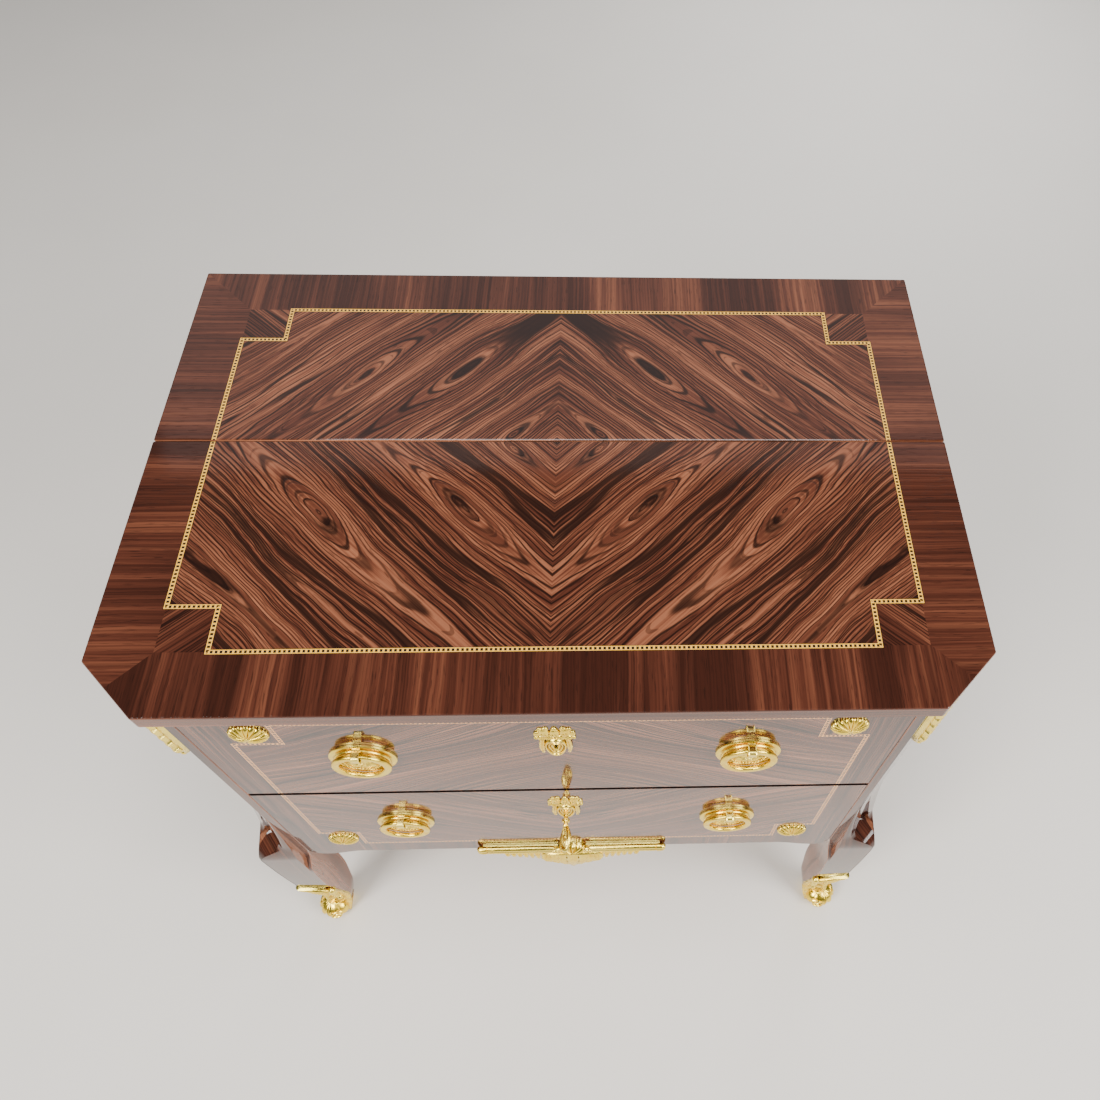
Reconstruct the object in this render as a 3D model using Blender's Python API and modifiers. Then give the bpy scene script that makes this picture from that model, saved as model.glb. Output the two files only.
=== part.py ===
"""Convertible desk: a two-drawer veneered commode whose front top leaf draws forward for writing.

Metres, +Z up.  The desk faces -Y and stands on z = 0, centred under its own bounding box.
"""
import math

import bmesh
import bpy
from mathutils import Matrix, Vector

# Driving dimensions: the top
TOP_WIDTH = 0.800
TOP_DEPTH = 0.543
TOP_THICKNESS = 0.019
HEIGHT = 0.790
FRONT_LEAF_DEPTH = 0.298
SEAM_GAP = 0.0016
TOP_ARRIS = 0.0016
TOP_CORNER_CUT = 0.054
OVERHANG = 0.018

# The case
CANT = 0.035
POST_STRIP = 0.0095
POST_DEPTH = 0.046
PANEL_THICKNESS = 0.016
PANEL_SETBACK = 0.002
BACK_THICKNESS = 0.010
BACK_SETBACK = 0.003
BED_THICKNESS = 0.016
TOP_BOARD_THICKNESS = 0.015
DUST_BOARD_THICKNESS = 0.012
BOTTOM_BOARD_THICKNESS = 0.012
GUIDE_HEIGHT = 0.022
BEARER_WIDTH = 0.034
BEARER_END_SPACE = 0.004
TONGUE_WIDTH = 0.006
TONGUE_HEIGHT = 0.005
GROOVE_STOP = 0.0437
LEAF_TRAVEL = 0.240
LEATHER_THICKNESS = 0.0012
LEATHER_RECESS = 0.0016
LEATHER_MARGIN = 0.045
LEAF_TRAVEL_ROOM = 0.010

# The drawers
UPPER_FRONT_HEIGHT = 0.1955
LOWER_FRONT_HEIGHT = 0.2240
FRONT_THICKNESS = 0.020
DRAWER_SIDE_THICKNESS = 0.010
DRAWER_BOTTOM_THICKNESS = 0.006
DRAWER_BOTTOM_RAISE = 0.006
DRAWER_SIDE_DROP = 0.012
DRAWER_BACK_ROOM = 0.0117
FRONT_LIP = 0.004
LOBE_DROP = 0.012
LOBE_RADIUS = 0.020
LOBE_WIDTH = 0.050
APRON_DROP = 0.046
APRON_TONGUE_HALF_WIDTH = 0.060

# Legs: heights are measured from the floor or from the bottom edge of the lower drawer
FLUTE_TOP_RISE = 0.153
CREST_RISE = 0.046
CREST_FLARE = 0.0078
KNEE_RISE = 0.008
KNEE_FLARE = 0.0130
KNEE_ARRIS = 0.0025
KNEE_INSET = 0.042
CALF_HEIGHT = 0.180
CALF_FLARE = 0.0112
CALF_INSET = 0.0345
CALF_DEPTH = 0.0430
SHIN_HEIGHT = 0.120
SHIN_FLARE = 0.0045
SHIN_INSET = 0.0355
SHIN_DEPTH = 0.0400
ANKLE_HEIGHT = 0.072
ANKLE_FLARE = -0.0015
ANKLE_INSET = 0.0355
ANKLE_DEPTH = 0.0300
INSTEP_HEIGHT = 0.036
INSTEP_FLARE = 0.0015
INSTEP_INSET = 0.0305
INSTEP_DEPTH = 0.0245
FOOT_FLARE = 0.0060
FOOT_INSET = 0.0220
FOOT_DEPTH = 0.0150
FLUTE_RADIUS = 0.0165
FLUTE_END_RISE = 0.030
FLUTE_STANDOFF = 0.0040
LEG_STEPS = 4

# Gilt mounts
SABOT_HEIGHT = 0.168
SABOT_WALL = 0.0030
SABOT_FLOOR = 0.0040
SABOT_ARRIS = 0.0055
SABOT_HEEL_HEIGHT = 0.048
SABOT_BARE_FROM = 0.022
TOE_REACH = 0.0005
TOE_RADIUS = 0.0210
TOE_HEIGHT = 0.0340
CHUTE_LENGTH = 0.138
CHUTE_WIDTH = 0.034
CHUTE_SHOULDER = 0.088
CHUTE_TIP_WIDTH = 0.014
CHUTE_THICKNESS = 0.0105
PULL_INSET = 0.1468
UPPER_PULL_DROP = 0.0900
LOWER_PULL_DROP = 0.1000
PULL_PLATE_RADIUS = 0.0325
PULL_FLANGE_EDGE = 0.0025
PULL_FLANGE_RISE = 0.0040
PULL_CUP_RADIUS = 0.0270
PULL_RIM_WIDTH = 0.0040
PULL_RIM_HEIGHT = 0.0062
PULL_PLATE_BASE = 0.0030
PULL_BOSS_RADIUS = 0.0140
PULL_BOSS_HEIGHT = 0.0065
RING_RADIUS = 0.0248
RING_WIRE = 0.0037
RING_THICKNESS = 0.0056
RING_STANDOFF = 0.0102
EYE_WALL = 0.0030
EYE_LENGTH = 0.0070
EYE_CLEARANCE = 0.0006
ROSETTE_INSET = 0.0578
UPPER_ROSETTE_DROP = 0.0270
LOWER_ROSETTE_RISE = 0.0580
ROSETTE_RADIUS = 0.0185
ROSETTE_RELIEF = 0.0075
ROSETTE_LOBES = 9
ROSETTE_LOBE_DEPTH = 0.0016
ESCUTCHEON_WIDTH = 0.040
ESCUTCHEON_RISE = 0.040
ESCUTCHEON_LOBE_RADIUS = 0.0067
ESCUTCHEON_LOBE_STEP = 0.0107
ESCUTCHEON_WAIST = 0.0093
ESCUTCHEON_TAIL_ROOT = 0.0107
ESCUTCHEON_TAIL_DROP = 0.019
ESCUTCHEON_PLATE_WIDTH = 0.023
ESCUTCHEON_PLATE_DROP = 0.026
ESCUTCHEON_THICKNESS = 0.004
APRON_HALF_WIDTH = 0.1215
APRON_REED_RADIUS = 0.0042
APRON_REED_PITCH = 0.0076
APRON_REED_LIFT = 0.0002
APRON_REED_STEP = 0.002
APRON_BAR_DROP = 0.003
APRON_COLLAR_RADIUS = 0.0052
APRON_COLLAR_LENGTH = 0.0045
APRON_COLLAR_INSET = 0.0075
APRON_LEAF_HALF_WIDTH = 0.088
APRON_LEAF_DROP = 0.060
APRON_LEAF_LOBES = 5
APRON_LEAF_SAG = 1.5
APRON_LEAF_LOBE_DEPTH = 0.0035
APRON_THICKNESS = 0.005

# Locks and key
KEYHOLE_DROP = 0.061
KEY_SLOT_WIDTH = 0.0032
LOCK_WIDTH = 0.060
LOCK_TAIL = 0.016
LOCK_THICKNESS = 0.012
BOLT_WIDTH = 0.014
BOLT_THICKNESS = 0.004
BOLT_CLEARANCE = 0.0004
BOLT_TAIL_GAP = 0.0006
BOLT_MORTISE_DEPTH = 0.0075
KEY_SHAFT_RADIUS = 0.0026
KEY_REACH = 0.051
KEY_BOW_LENGTH = 0.030
KEY_BOW_HEIGHT = 0.022
KEY_BOW_WIRE = 0.0021
KEY_BOW_TURN = math.radians(30.0)
KEY_SHAFT_SEAT = 0.0031
KEY_COLLAR_RADIUS = 0.0046
KEY_COLLAR_LENGTH = 0.0040
KEY_COLLAR_STANDOFF = 0.0070
KEY_BIT_REACH = 0.0076
KEY_BIT_WIDTH = 0.0020
KEY_BIT_LENGTH = 0.0050
KEY_BIT_STEP = 0.0005
KEY_CHAMBER_CLEARANCE = 0.0010
KEY_CLEARANCE = 0.0005

# Clearances
FIT = 0.0003
BED_CLEARANCE = 0.0005
SIDE_CLEARANCE = 0.0012
REVEAL = 0.0065
TOP_REVEAL = 0.0012
RUN_CLEARANCE = 0.0010
LOCK_CLEARANCE = 0.0010
GROOVE_CLEARANCE = 0.0005

# Derived places, in the plan of the top: x right, y back, z from the floor
CASE_HALF_WIDTH = TOP_WIDTH / 2 - OVERHANG
CASE_HALF_DEPTH = TOP_DEPTH / 2 - OVERHANG
FRONT_PLANE = -CASE_HALF_DEPTH
SEAM_Y = FRONT_LEAF_DEPTH - TOP_DEPTH / 2
POST_INNER_X = CASE_HALF_WIDTH - CANT - POST_STRIP
POST_INNER_Y = CASE_HALF_DEPTH - POST_DEPTH
LEAF_BOTTOM = HEIGHT - TOP_THICKNESS
CASE_TOP = LEAF_BOTTOM - FIT
BED_TOP = LEAF_BOTTOM - BED_CLEARANCE
BED_BOTTOM = BED_TOP - BED_THICKNESS
TOP_BOARD_TOP = BED_BOTTOM - FIT
TOP_BOARD_BOTTOM = TOP_BOARD_TOP - TOP_BOARD_THICKNESS
UPPER_FRONT_TOP = TOP_BOARD_BOTTOM - TOP_REVEAL
UPPER_FRONT_BOTTOM = UPPER_FRONT_TOP - UPPER_FRONT_HEIGHT
LOWER_FRONT_TOP = UPPER_FRONT_BOTTOM - REVEAL
LOWER_FRONT_BOTTOM = LOWER_FRONT_TOP - LOWER_FRONT_HEIGHT
DUST_BOARD_TOP = UPPER_FRONT_BOTTOM + FRONT_LIP
DUST_BOARD_BOTTOM = DUST_BOARD_TOP - DUST_BOARD_THICKNESS
BOTTOM_BOARD_BOTTOM = LOWER_FRONT_BOTTOM
BOTTOM_BOARD_TOP = BOTTOM_BOARD_BOTTOM + BOTTOM_BOARD_THICKNESS
FRONT_BACK_FACE = FRONT_PLANE + FRONT_THICKNESS
BOARD_FRONT = FRONT_BACK_FACE + FIT
BACK_INNER_Y = CASE_HALF_DEPTH - BACK_SETBACK - BACK_THICKNESS
BOARD_BACK = BACK_INNER_Y - FIT
BOARD_HALF_WIDTH = POST_INNER_X - FIT
DRAWER_HALF_WIDTH = POST_INNER_X - SIDE_CLEARANCE
PANEL_OUTER_X = CASE_HALF_WIDTH - PANEL_SETBACK
PANEL_INNER_X = PANEL_OUTER_X - PANEL_THICKNESS
RING_CENTRE_Y = FRONT_PLANE - RING_STANDOFF
PULL_X = DRAWER_HALF_WIDTH - PULL_INSET
UPPER_PULL_LEVEL = UPPER_FRONT_TOP - UPPER_PULL_DROP
LOWER_PULL_LEVEL = LOWER_FRONT_TOP - LOWER_PULL_DROP
ROSETTE_X = DRAWER_HALF_WIDTH - ROSETTE_INSET
UPPER_ROSETTE_LEVEL = UPPER_FRONT_TOP - UPPER_ROSETTE_DROP
LOWER_ROSETTE_LEVEL = LOWER_FRONT_BOTTOM + LOWER_ROSETTE_RISE
LOCK_FRONT_Y = FRONT_BACK_FACE + FIT
BOLT_Y = LOCK_FRONT_Y + LOCK_THICKNESS / 2
KEY_TIP_Y = FRONT_PLANE - KEY_REACH
KEYHOLE_RADIUS = KEY_SHAFT_RADIUS + KEY_CLEARANCE
KEY_SLOT_DROP = KEY_BIT_REACH + KEY_CLEARANCE
REAR_TOE_REACH = min(TOE_REACH, TOP_DEPTH / 2 - CASE_HALF_DEPTH - TOE_RADIUS)
CASE_SHIFT_Y = (-KEY_TIP_Y - TOP_DEPTH / 2) / 2

for old in list(bpy.data.objects):
    bpy.data.objects.remove(old, do_unlink=True)

DESK = bpy.data.collections.new("convertible_desk")
CUTTERS = bpy.data.collections.new("cutters")
bpy.context.scene.collection.children.link(DESK)
bpy.context.scene.collection.children.link(CUTTERS)


def finish(name, colour, metallic, roughness):
    """One Principled material."""
    made = bpy.data.materials.new(name)
    made.use_nodes = True
    shader = made.node_tree.nodes["Principled BSDF"]
    shader.inputs["Base Color"].default_value = (*colour, 1.0)
    shader.inputs["Metallic"].default_value = metallic
    shader.inputs["Roughness"].default_value = roughness
    return made


ROSEWOOD = finish("rosewood_veneer", (0.085, 0.028, 0.014), 0.0, 0.16)
BEECH = finish("beech_inside", (0.47, 0.28, 0.14), 0.0, 0.55)
GILT = finish("gilt_bronze", (0.83, 0.58, 0.14), 1.0, 0.18)
IRON = finish("lock_iron", (0.20, 0.19, 0.18), 1.0, 0.45)
LEATHER = finish("writing_leather", (0.05, 0.10, 0.06), 0.0, 0.50)

# Each moving body has an empty on its joint axis; the case empty carries the whole desk.
EMPTY_PLACES = {}


def carrier(name, place, parent=None):
    """An empty that carries the pieces of one body."""
    empty = bpy.data.objects.new(name, None)
    DESK.objects.link(empty)
    EMPTY_PLACES[name] = Vector(place)
    if parent is None:
        empty.location = Vector(place)
        EMPTY_PLACES[name] = Vector((0.0, 0.0, 0.0))
    else:
        empty.parent = parent
        empty.location = Vector(place) - EMPTY_PLACES[parent.name]
    return empty


def put(obj, place, parent, material):
    """Place a finished object, given in the plan of the top, under its carrier."""
    obj.parent = parent
    obj.location = Vector(place) - EMPTY_PLACES[parent.name]
    obj.data.materials.clear()
    obj.data.materials.append(material)
    return obj


def mesh_object(name, bm, collection=DESK):
    """A new object from a bmesh."""
    mesh = bpy.data.meshes.new(name)
    bm.to_mesh(mesh)
    bm.free()
    obj = bpy.data.objects.new(name, mesh)
    collection.objects.link(obj)
    return obj


def block_mesh(size):
    """A box of the given size about its own centre."""
    bm = bmesh.new()
    bmesh.ops.create_cube(bm, size=1.0)
    bmesh.ops.scale(bm, vec=size, verts=bm.verts)
    return bm


def block(name, low, high, parent, material):
    """A plain board between two corners."""
    low = Vector(low)
    high = Vector(high)
    obj = mesh_object(name, block_mesh(high - low))
    return put(obj, (low + high) / 2, parent, material)


def cutter_of(obj):
    """Mark an object as a cutter: left out of the desk itself."""
    for group in list(obj.users_collection):
        group.objects.unlink(obj)
    CUTTERS.objects.link(obj)
    obj.hide_render = True
    obj.display_type = "WIRE"
    return obj


def combine(obj, other, operation):
    """Cut or join one mesh with another, which stays as a hidden cutter at the same parent."""
    cutter_of(other)
    step = obj.modifiers.new(other.name, "BOOLEAN")
    step.operation = operation
    step.solver = "EXACT"
    step.object = other
    return obj


def cut_block(obj, name, low, high, parent):
    """Cut a box-shaped recess."""
    return combine(obj, block(name, low, high, parent, IRON), "DIFFERENCE")


def rod_mesh(radius, length, sides, end_radius=None):
    """A cylinder or cone along Z about its own centre."""
    bm = bmesh.new()
    tip = radius if end_radius is None else end_radius
    bmesh.ops.create_cone(
        bm, cap_ends=True, cap_tris=False, segments=sides, radius1=radius, radius2=tip, depth=length
    )
    return bm


FACE_FRONT = Matrix.Rotation(math.radians(90.0), 4, "X")
FACE_SIDE = Matrix.Rotation(math.radians(90.0), 4, "Y")


def rod(name, radius, length, place, turn, parent, material, sides=16):
    """A cylinder turned to face along one axis."""
    bm = rod_mesh(radius, length, sides)
    bmesh.ops.transform(bm, matrix=turn, verts=bm.verts)
    return put(mesh_object(name, bm), place, parent, material)


def welded(curve):
    """The surface of a curve as a welded bmesh facing out; the curve is removed."""
    holder = bpy.data.objects.new(curve.name, curve)
    DESK.objects.link(holder)
    bpy.context.view_layer.update()
    seen = holder.evaluated_get(bpy.context.evaluated_depsgraph_get())
    mesh = bpy.data.meshes.new_from_object(seen)
    bm = bmesh.new()
    bm.from_mesh(mesh)
    bmesh.ops.remove_doubles(bm, verts=bm.verts, dist=0.00001)
    bmesh.ops.recalc_face_normals(bm, faces=bm.faces)
    bpy.data.objects.remove(holder, do_unlink=True)
    bpy.data.curves.remove(curve)
    bpy.data.meshes.remove(mesh)
    return bm


def outline_mesh(points, thickness):
    """A flat closed outline in X and Z with a thickness along Y, as a welded bmesh."""
    curve = bpy.data.curves.new("outline", "CURVE")
    curve.dimensions = "2D"
    curve.fill_mode = "BOTH"
    curve.extrude = thickness / 2
    spline = curve.splines.new("POLY")
    spline.points.add(len(points) - 1)
    for spot, (across, up) in zip(spline.points, points):
        spot.co = (across, up, 0.0, 1.0)
    spline.use_cyclic_u = True
    bm = welded(curve)
    bmesh.ops.transform(bm, matrix=FACE_FRONT, verts=bm.verts)
    return bm


def outlined(name, points, thickness, place, parent, material, turn=None):
    """A flat outlined piece, standing in X and Z before any turn."""
    bm = outline_mesh(points, thickness)
    if turn is not None:
        bmesh.ops.transform(bm, matrix=turn, verts=bm.verts)
    return put(mesh_object(name, bm), place, parent, material)


def turned(name, profile, place, parent, material, steps=24):
    """A turned piece about Y: profile points are (radius, height out of the face), top to bottom."""
    mesh = bpy.data.meshes.new(name)
    corners = [(radius, 0.0, out) for radius, out in profile]
    edges = [(index, index + 1) for index in range(len(corners) - 1)]
    mesh.from_pydata(corners, edges, [])
    obj = bpy.data.objects.new(name, mesh)
    DESK.objects.link(obj)
    spin = obj.modifiers.new("turning", "SCREW")
    spin.steps = steps
    spin.render_steps = steps
    spin.use_merge_vertices = True
    spin.merge_threshold = 0.00001
    spin.use_smooth_shade = True
    obj.rotation_euler = (math.radians(90.0), 0.0, 0.0)
    return put(obj, place, parent, material)


def loft(name, sections, parent, material, place=(0.0, 0.0, 0.0), turn=None):
    """A body through stacked plan outlines: each section is (height, [(x, y), ...])."""
    bm = bmesh.new()
    rings = []
    for level, outline in sections:
        rings.append([bm.verts.new((x, y, level)) for x, y in outline])
    count = len(rings[0])
    for lower, upper in zip(rings, rings[1:]):
        for index in range(count):
            after = (index + 1) % count
            bm.faces.new((lower[index], lower[after], upper[after], upper[index]))
    bm.faces.new(list(reversed(rings[0])))
    bm.faces.new(rings[-1])
    bmesh.ops.recalc_face_normals(bm, faces=bm.faces)
    if turn is not None:
        bmesh.ops.transform(bm, matrix=turn, verts=bm.verts)
    return put(mesh_object(name, bm), place, parent, material)


def round_arrises(obj, radius, segments=2):
    """Ease the sharp edges of a piece."""
    step = obj.modifiers.new("eased_arrises", "BEVEL")
    step.width = radius
    step.segments = segments
    step.limit_method = "ANGLE"
    step.angle_limit = math.radians(30.0)
    return obj


def arc(centre, radius, start, end, steps):
    """Points of a circular arc in X and Z, angles in degrees."""
    points = []
    for index in range(steps + 1):
        angle = math.radians(start + (end - start) * index / steps)
        points.append((centre[0] + radius * math.cos(angle), centre[1] + radius * math.sin(angle)))
    return points


def ease(start, end, steps):
    """Points of a smooth S between two corners, both ends left out."""
    points = []
    for index in range(1, steps):
        share = index / steps
        swing = (1 - math.cos(math.pi * share)) / 2
        points.append((start[0] + (end[0] - start[0]) * share, start[1] + (end[1] - start[1]) * swing))
    return points


def mirrored(half):
    """An outline from its right half, listed from the top middle round to the bottom middle."""
    return half + [(-x, z) for x, z in reversed(half) if abs(x) > FIT / 10]


CASE = carrier("case", (0.0, CASE_SHIFT_Y, 0.0))
LEAF = carrier("leaf", (0.0, SEAM_Y, LEAF_BOTTOM), CASE)
UPPER_DRAWER = carrier("upper_drawer", (0.0, FRONT_PLANE, UPPER_FRONT_BOTTOM), CASE)
LOWER_DRAWER = carrier("lower_drawer", (0.0, FRONT_PLANE, LOWER_FRONT_BOTTOM), CASE)


# Legs and corner posts
def leg_stations():
    """Height, outward flare, corner cut, reach across and reach along, from foot to post top."""
    across = CANT + POST_STRIP
    return [
        (SABOT_FLOOR + FIT, FOOT_FLARE, KNEE_ARRIS, FOOT_INSET, FOOT_DEPTH),
        (INSTEP_HEIGHT, INSTEP_FLARE, KNEE_ARRIS, INSTEP_INSET, INSTEP_DEPTH),
        (ANKLE_HEIGHT, ANKLE_FLARE, KNEE_ARRIS, ANKLE_INSET, ANKLE_DEPTH),
        (SHIN_HEIGHT, SHIN_FLARE, KNEE_ARRIS, SHIN_INSET, SHIN_DEPTH),
        (CALF_HEIGHT, CALF_FLARE, KNEE_ARRIS, CALF_INSET, CALF_DEPTH),
        (LOWER_FRONT_BOTTOM - LOBE_DROP, KNEE_FLARE, KNEE_ARRIS, KNEE_INSET, POST_DEPTH),
        (LOWER_FRONT_BOTTOM + KNEE_RISE, KNEE_FLARE, KNEE_ARRIS, across, POST_DEPTH),
        (LOWER_FRONT_BOTTOM + CREST_RISE, CREST_FLARE, CANT, across, POST_DEPTH),
        (LOWER_FRONT_BOTTOM + FLUTE_TOP_RISE, 0.0, CANT, across, POST_DEPTH),
        (CASE_TOP, 0.0, CANT, across, POST_DEPTH),
    ]


def slopes(levels, values):
    """Slopes of a flowing curve that never swings past its own stations."""
    rises = []
    for index in range(len(levels) - 1):
        rises.append((values[index + 1] - values[index]) / (levels[index + 1] - levels[index]))
    found = [rises[0]]
    for before, after in zip(rises, rises[1:]):
        turning = before * after <= 0.0
        found.append(0.0 if turning else 2.0 * before * after / (before + after))
    found.append(rises[-1])
    return found


def flowing_stations():
    """The leg stations with steps between them on a flowing curve."""
    rows = leg_stations()
    levels = [row[0] for row in rows]
    columns = [[row[index] for row in rows] for index in range(1, 5)]
    bends = [slopes(levels, column) for column in columns]
    steps = [rows[0]]
    for index in range(len(rows) - 1):
        span = levels[index + 1] - levels[index]
        straight = rows[index][1:] == rows[index + 1][1:]
        count = 1 if straight else LEG_STEPS
        for step in range(1, count + 1):
            share = step / count
            row = [levels[index] + span * share]
            for column, bend in zip(columns, bends):
                start = (1 + 2 * share) * (1 - share) ** 2 * column[index]
                end = share ** 2 * (3 - 2 * share) * column[index + 1]
                start_bend = share * (1 - share) ** 2 * span * bend[index]
                end_bend = share ** 2 * (share - 1) * span * bend[index + 1]
                row.append(start + end + start_bend + end_bend)
            steps.append(tuple(row))
    return steps


def leg_outline(row, corner_cut, side, front, grow=0.0):
    """Plan outline of a leg at one station: inner front, cut corner, inner back, inner corner."""
    out = row[1] + grow
    across = -row[3] - grow
    along = -row[4] - grow
    corners = [(across, out), (out - corner_cut, out), (out, out - corner_cut), (out, along), (across, along)]
    return [(side * (CASE_HALF_WIDTH + u), front * (CASE_HALF_DEPTH + v)) for u, v in corners]


def leg(name, side, front):
    """A corner post and cabriole leg in one; only the front posts are canted and fluted."""
    sections = []
    for row in flowing_stations():
        corner_cut = row[2] if front < 0 else KNEE_ARRIS
        sections.append((row[0], leg_outline(row, corner_cut, side, front)))
    made = loft(name, sections, CASE, ROSEWOOD)
    if front > 0:
        return made
    out = CREST_FLARE - CANT / 2 + FLUTE_STANDOFF
    foot = Vector((side * (CASE_HALF_WIDTH + out), front * (CASE_HALF_DEPTH + out), 0.0))
    head = Vector((side * (CASE_HALF_WIDTH - CANT / 2), front * (CASE_HALF_DEPTH - CANT / 2), 0.0))
    foot.z = LOWER_FRONT_BOTTOM + FLUTE_END_RISE
    head.z = LOWER_FRONT_BOTTOM + FLUTE_TOP_RISE
    axis = head - foot
    bm = rod_mesh(FLUTE_RADIUS, axis.length, 20, end_radius=FIT)
    bmesh.ops.transform(bm, matrix=axis.to_track_quat("Z", "Y").to_matrix().to_4x4(), verts=bm.verts)
    flute = put(mesh_object(name + "_flute", bm), (foot + head) / 2, CASE, ROSEWOOD)
    return combine(made, flute, "DIFFERENCE")


# Gilt shoe of a leg
def sabot(name, side, front):
    """A cast shoe round the foot, with a ball at the toe; the rear toes stay under the top's edge."""
    inner = []
    outer = []
    last = None
    for row in flowing_stations():
        hollow_level = SABOT_FLOOR if last is None else row[0]
        inner.append((hollow_level, leg_outline(row, KNEE_ARRIS, side, front, FIT)))
        if last is None:
            outer.append((0.0, row))
        elif row[0] < SABOT_HEIGHT:
            outer.append((row[0], row))
        elif last[0] < SABOT_HEIGHT:
            share = (SABOT_HEIGHT - last[0]) / (row[0] - last[0])
            rim = [below + (above - below) * share for below, above in zip(last, row)]
            outer.append((SABOT_HEIGHT, rim))
        last = row
    shell = []
    for level, row in outer:
        shell.append((level, leg_outline(row, SABOT_ARRIS, side, front, SABOT_WALL)))
    made = loft(name, shell, CASE, GILT)
    bm = bmesh.new()
    bmesh.ops.create_uvsphere(bm, u_segments=20, v_segments=10, radius=TOE_RADIUS)
    bmesh.ops.scale(bm, vec=(1.0, 1.0, TOE_HEIGHT / (2 * TOE_RADIUS)), verts=bm.verts)
    reach = TOE_REACH if front < 0 else REAR_TOE_REACH
    toe = (side * (CASE_HALF_WIDTH + TOE_REACH), front * (CASE_HALF_DEPTH + reach), TOE_HEIGHT / 2 + FIT)
    combine(made, put(mesh_object(name + "_toe", bm), toe, CASE, GILT), "UNION")
    hollow = loft(name + "_hollow", inner, CASE, GILT)
    combine(made, hollow, "DIFFERENCE")
    # The shoe climbs only the two outer faces; above the heel the inner faces stay bare wood.
    bare = block_mesh((SABOT_HEIGHT, SABOT_HEIGHT, SABOT_HEIGHT))
    bmesh.ops.transform(bare, matrix=Matrix.Rotation(math.radians(45.0), 4, "Z"), verts=bare.verts)
    inward = (SABOT_BARE_FROM + SABOT_HEIGHT / 2) / math.sqrt(2.0)
    bare_x = side * (CASE_HALF_WIDTH - inward)
    bare_y = front * (CASE_HALF_DEPTH - inward)
    bare_place = (bare_x, bare_y, SABOT_HEEL_HEIGHT + SABOT_HEIGHT / 2)
    return combine(made, put(mesh_object(name + "_bare", bare), bare_place, CASE, GILT), "DIFFERENCE")


def chute(name, side):
    """The gilt fall at the head of a front post, on its canted face."""
    half = CHUTE_WIDTH / 2
    tip = CHUTE_TIP_WIDTH / 2
    head = [(0.0, 0.0), (half, 0.0), (half, -CHUTE_SHOULDER)]
    taper = ease((half, -CHUTE_SHOULDER), (tip, -CHUTE_LENGTH + tip), 6)
    outline = mirrored(head + taper + [(tip, -CHUTE_LENGTH + tip), (0.0, -CHUTE_LENGTH)])
    turn = Matrix.Rotation(math.radians(45.0 * side), 4, "Z")
    off = (FIT + CHUTE_THICKNESS / 2) / math.sqrt(2.0)
    middle_x = CASE_HALF_WIDTH - CANT / 2 + off
    middle_y = -(CASE_HALF_DEPTH - CANT / 2 + off)
    place = (side * middle_x, middle_y, CASE_TOP)
    return outlined(name, outline, CHUTE_THICKNESS, place, CASE, GILT, turn)


for side_word, side_sign in (("left", -1), ("right", 1)):
    for end_word, end_sign in (("front", -1), ("rear", 1)):
        leg(f"{end_word}_{side_word}_leg", side_sign, end_sign)
        sabot(f"{end_word}_{side_word}_sabot", side_sign, end_sign)
    chute(f"{side_word}_chute", side_sign)


# Case boards
def case_board(name, front, bottom, top):
    """A board across the case from its front edge to the back panel, between the posts."""
    low = (-BOARD_HALF_WIDTH, front, bottom)
    return block(name, low, (BOARD_HALF_WIDTH, BOARD_BACK, top), CASE, BEECH)


def bolt_mortise(board, name, bottom):
    """The hole in a board's underside that a lock bolt rises into."""
    half_x = BOLT_WIDTH / 2 + BOLT_CLEARANCE
    half_y = BOLT_THICKNESS / 2 + BOLT_CLEARANCE
    low = (-half_x, BOLT_Y - half_y, bottom - FIT)
    high = (half_x, BOLT_Y + half_y, bottom + BOLT_MORTISE_DEPTH)
    return cut_block(board, name, low, high, CASE)


for side_word, side_sign in (("left", -1), ("right", 1)):
    edges = sorted((side_sign * PANEL_INNER_X, side_sign * PANEL_OUTER_X))
    block(
        f"{side_word}_side_panel",
        (edges[0], -POST_INNER_Y + FIT, LOWER_FRONT_BOTTOM),
        (edges[1], POST_INNER_Y - FIT, CASE_TOP),
        CASE,
        ROSEWOOD,
    )
    for level_word, guide_bottom in (("upper", DUST_BOARD_TOP), ("lower", BOTTOM_BOARD_TOP)):
        edges = sorted((side_sign * BOARD_HALF_WIDTH, side_sign * (PANEL_INNER_X - FIT)))
        block(
            f"{level_word}_{side_word}_drawer_guide",
            (edges[0], -POST_INNER_Y + FIT, guide_bottom),
            (edges[1], POST_INNER_Y - FIT, guide_bottom + GUIDE_HEIGHT),
            CASE,
            BEECH,
        )

    edges = sorted((side_sign * POST_INNER_X, side_sign * (PANEL_INNER_X - FIT)))
    block(
        f"{side_word}_top_rail",
        (edges[0], -POST_INNER_Y + FIT, TOP_BOARD_BOTTOM),
        (edges[1], POST_INNER_Y - FIT, CASE_TOP),
        CASE,
        BEECH,
    )

block(
    "back_panel",
    (-BOARD_HALF_WIDTH, BACK_INNER_Y, LOWER_FRONT_BOTTOM),
    (BOARD_HALF_WIDTH, BACK_INNER_Y + BACK_THICKNESS, CASE_TOP),
    CASE,
    BEECH,
)
case_board("bottom_board", BOARD_FRONT, BOTTOM_BOARD_BOTTOM, BOTTOM_BOARD_TOP)
dust_board = case_board("dust_board", BOARD_FRONT, DUST_BOARD_BOTTOM, DUST_BOARD_TOP)
bolt_mortise(dust_board, "lower_bolt_mortise", DUST_BOARD_BOTTOM)
top_board = case_board("top_board", FRONT_PLANE, TOP_BOARD_BOTTOM, TOP_BOARD_TOP)
bolt_mortise(top_board, "upper_bolt_mortise", TOP_BOARD_BOTTOM)

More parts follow.
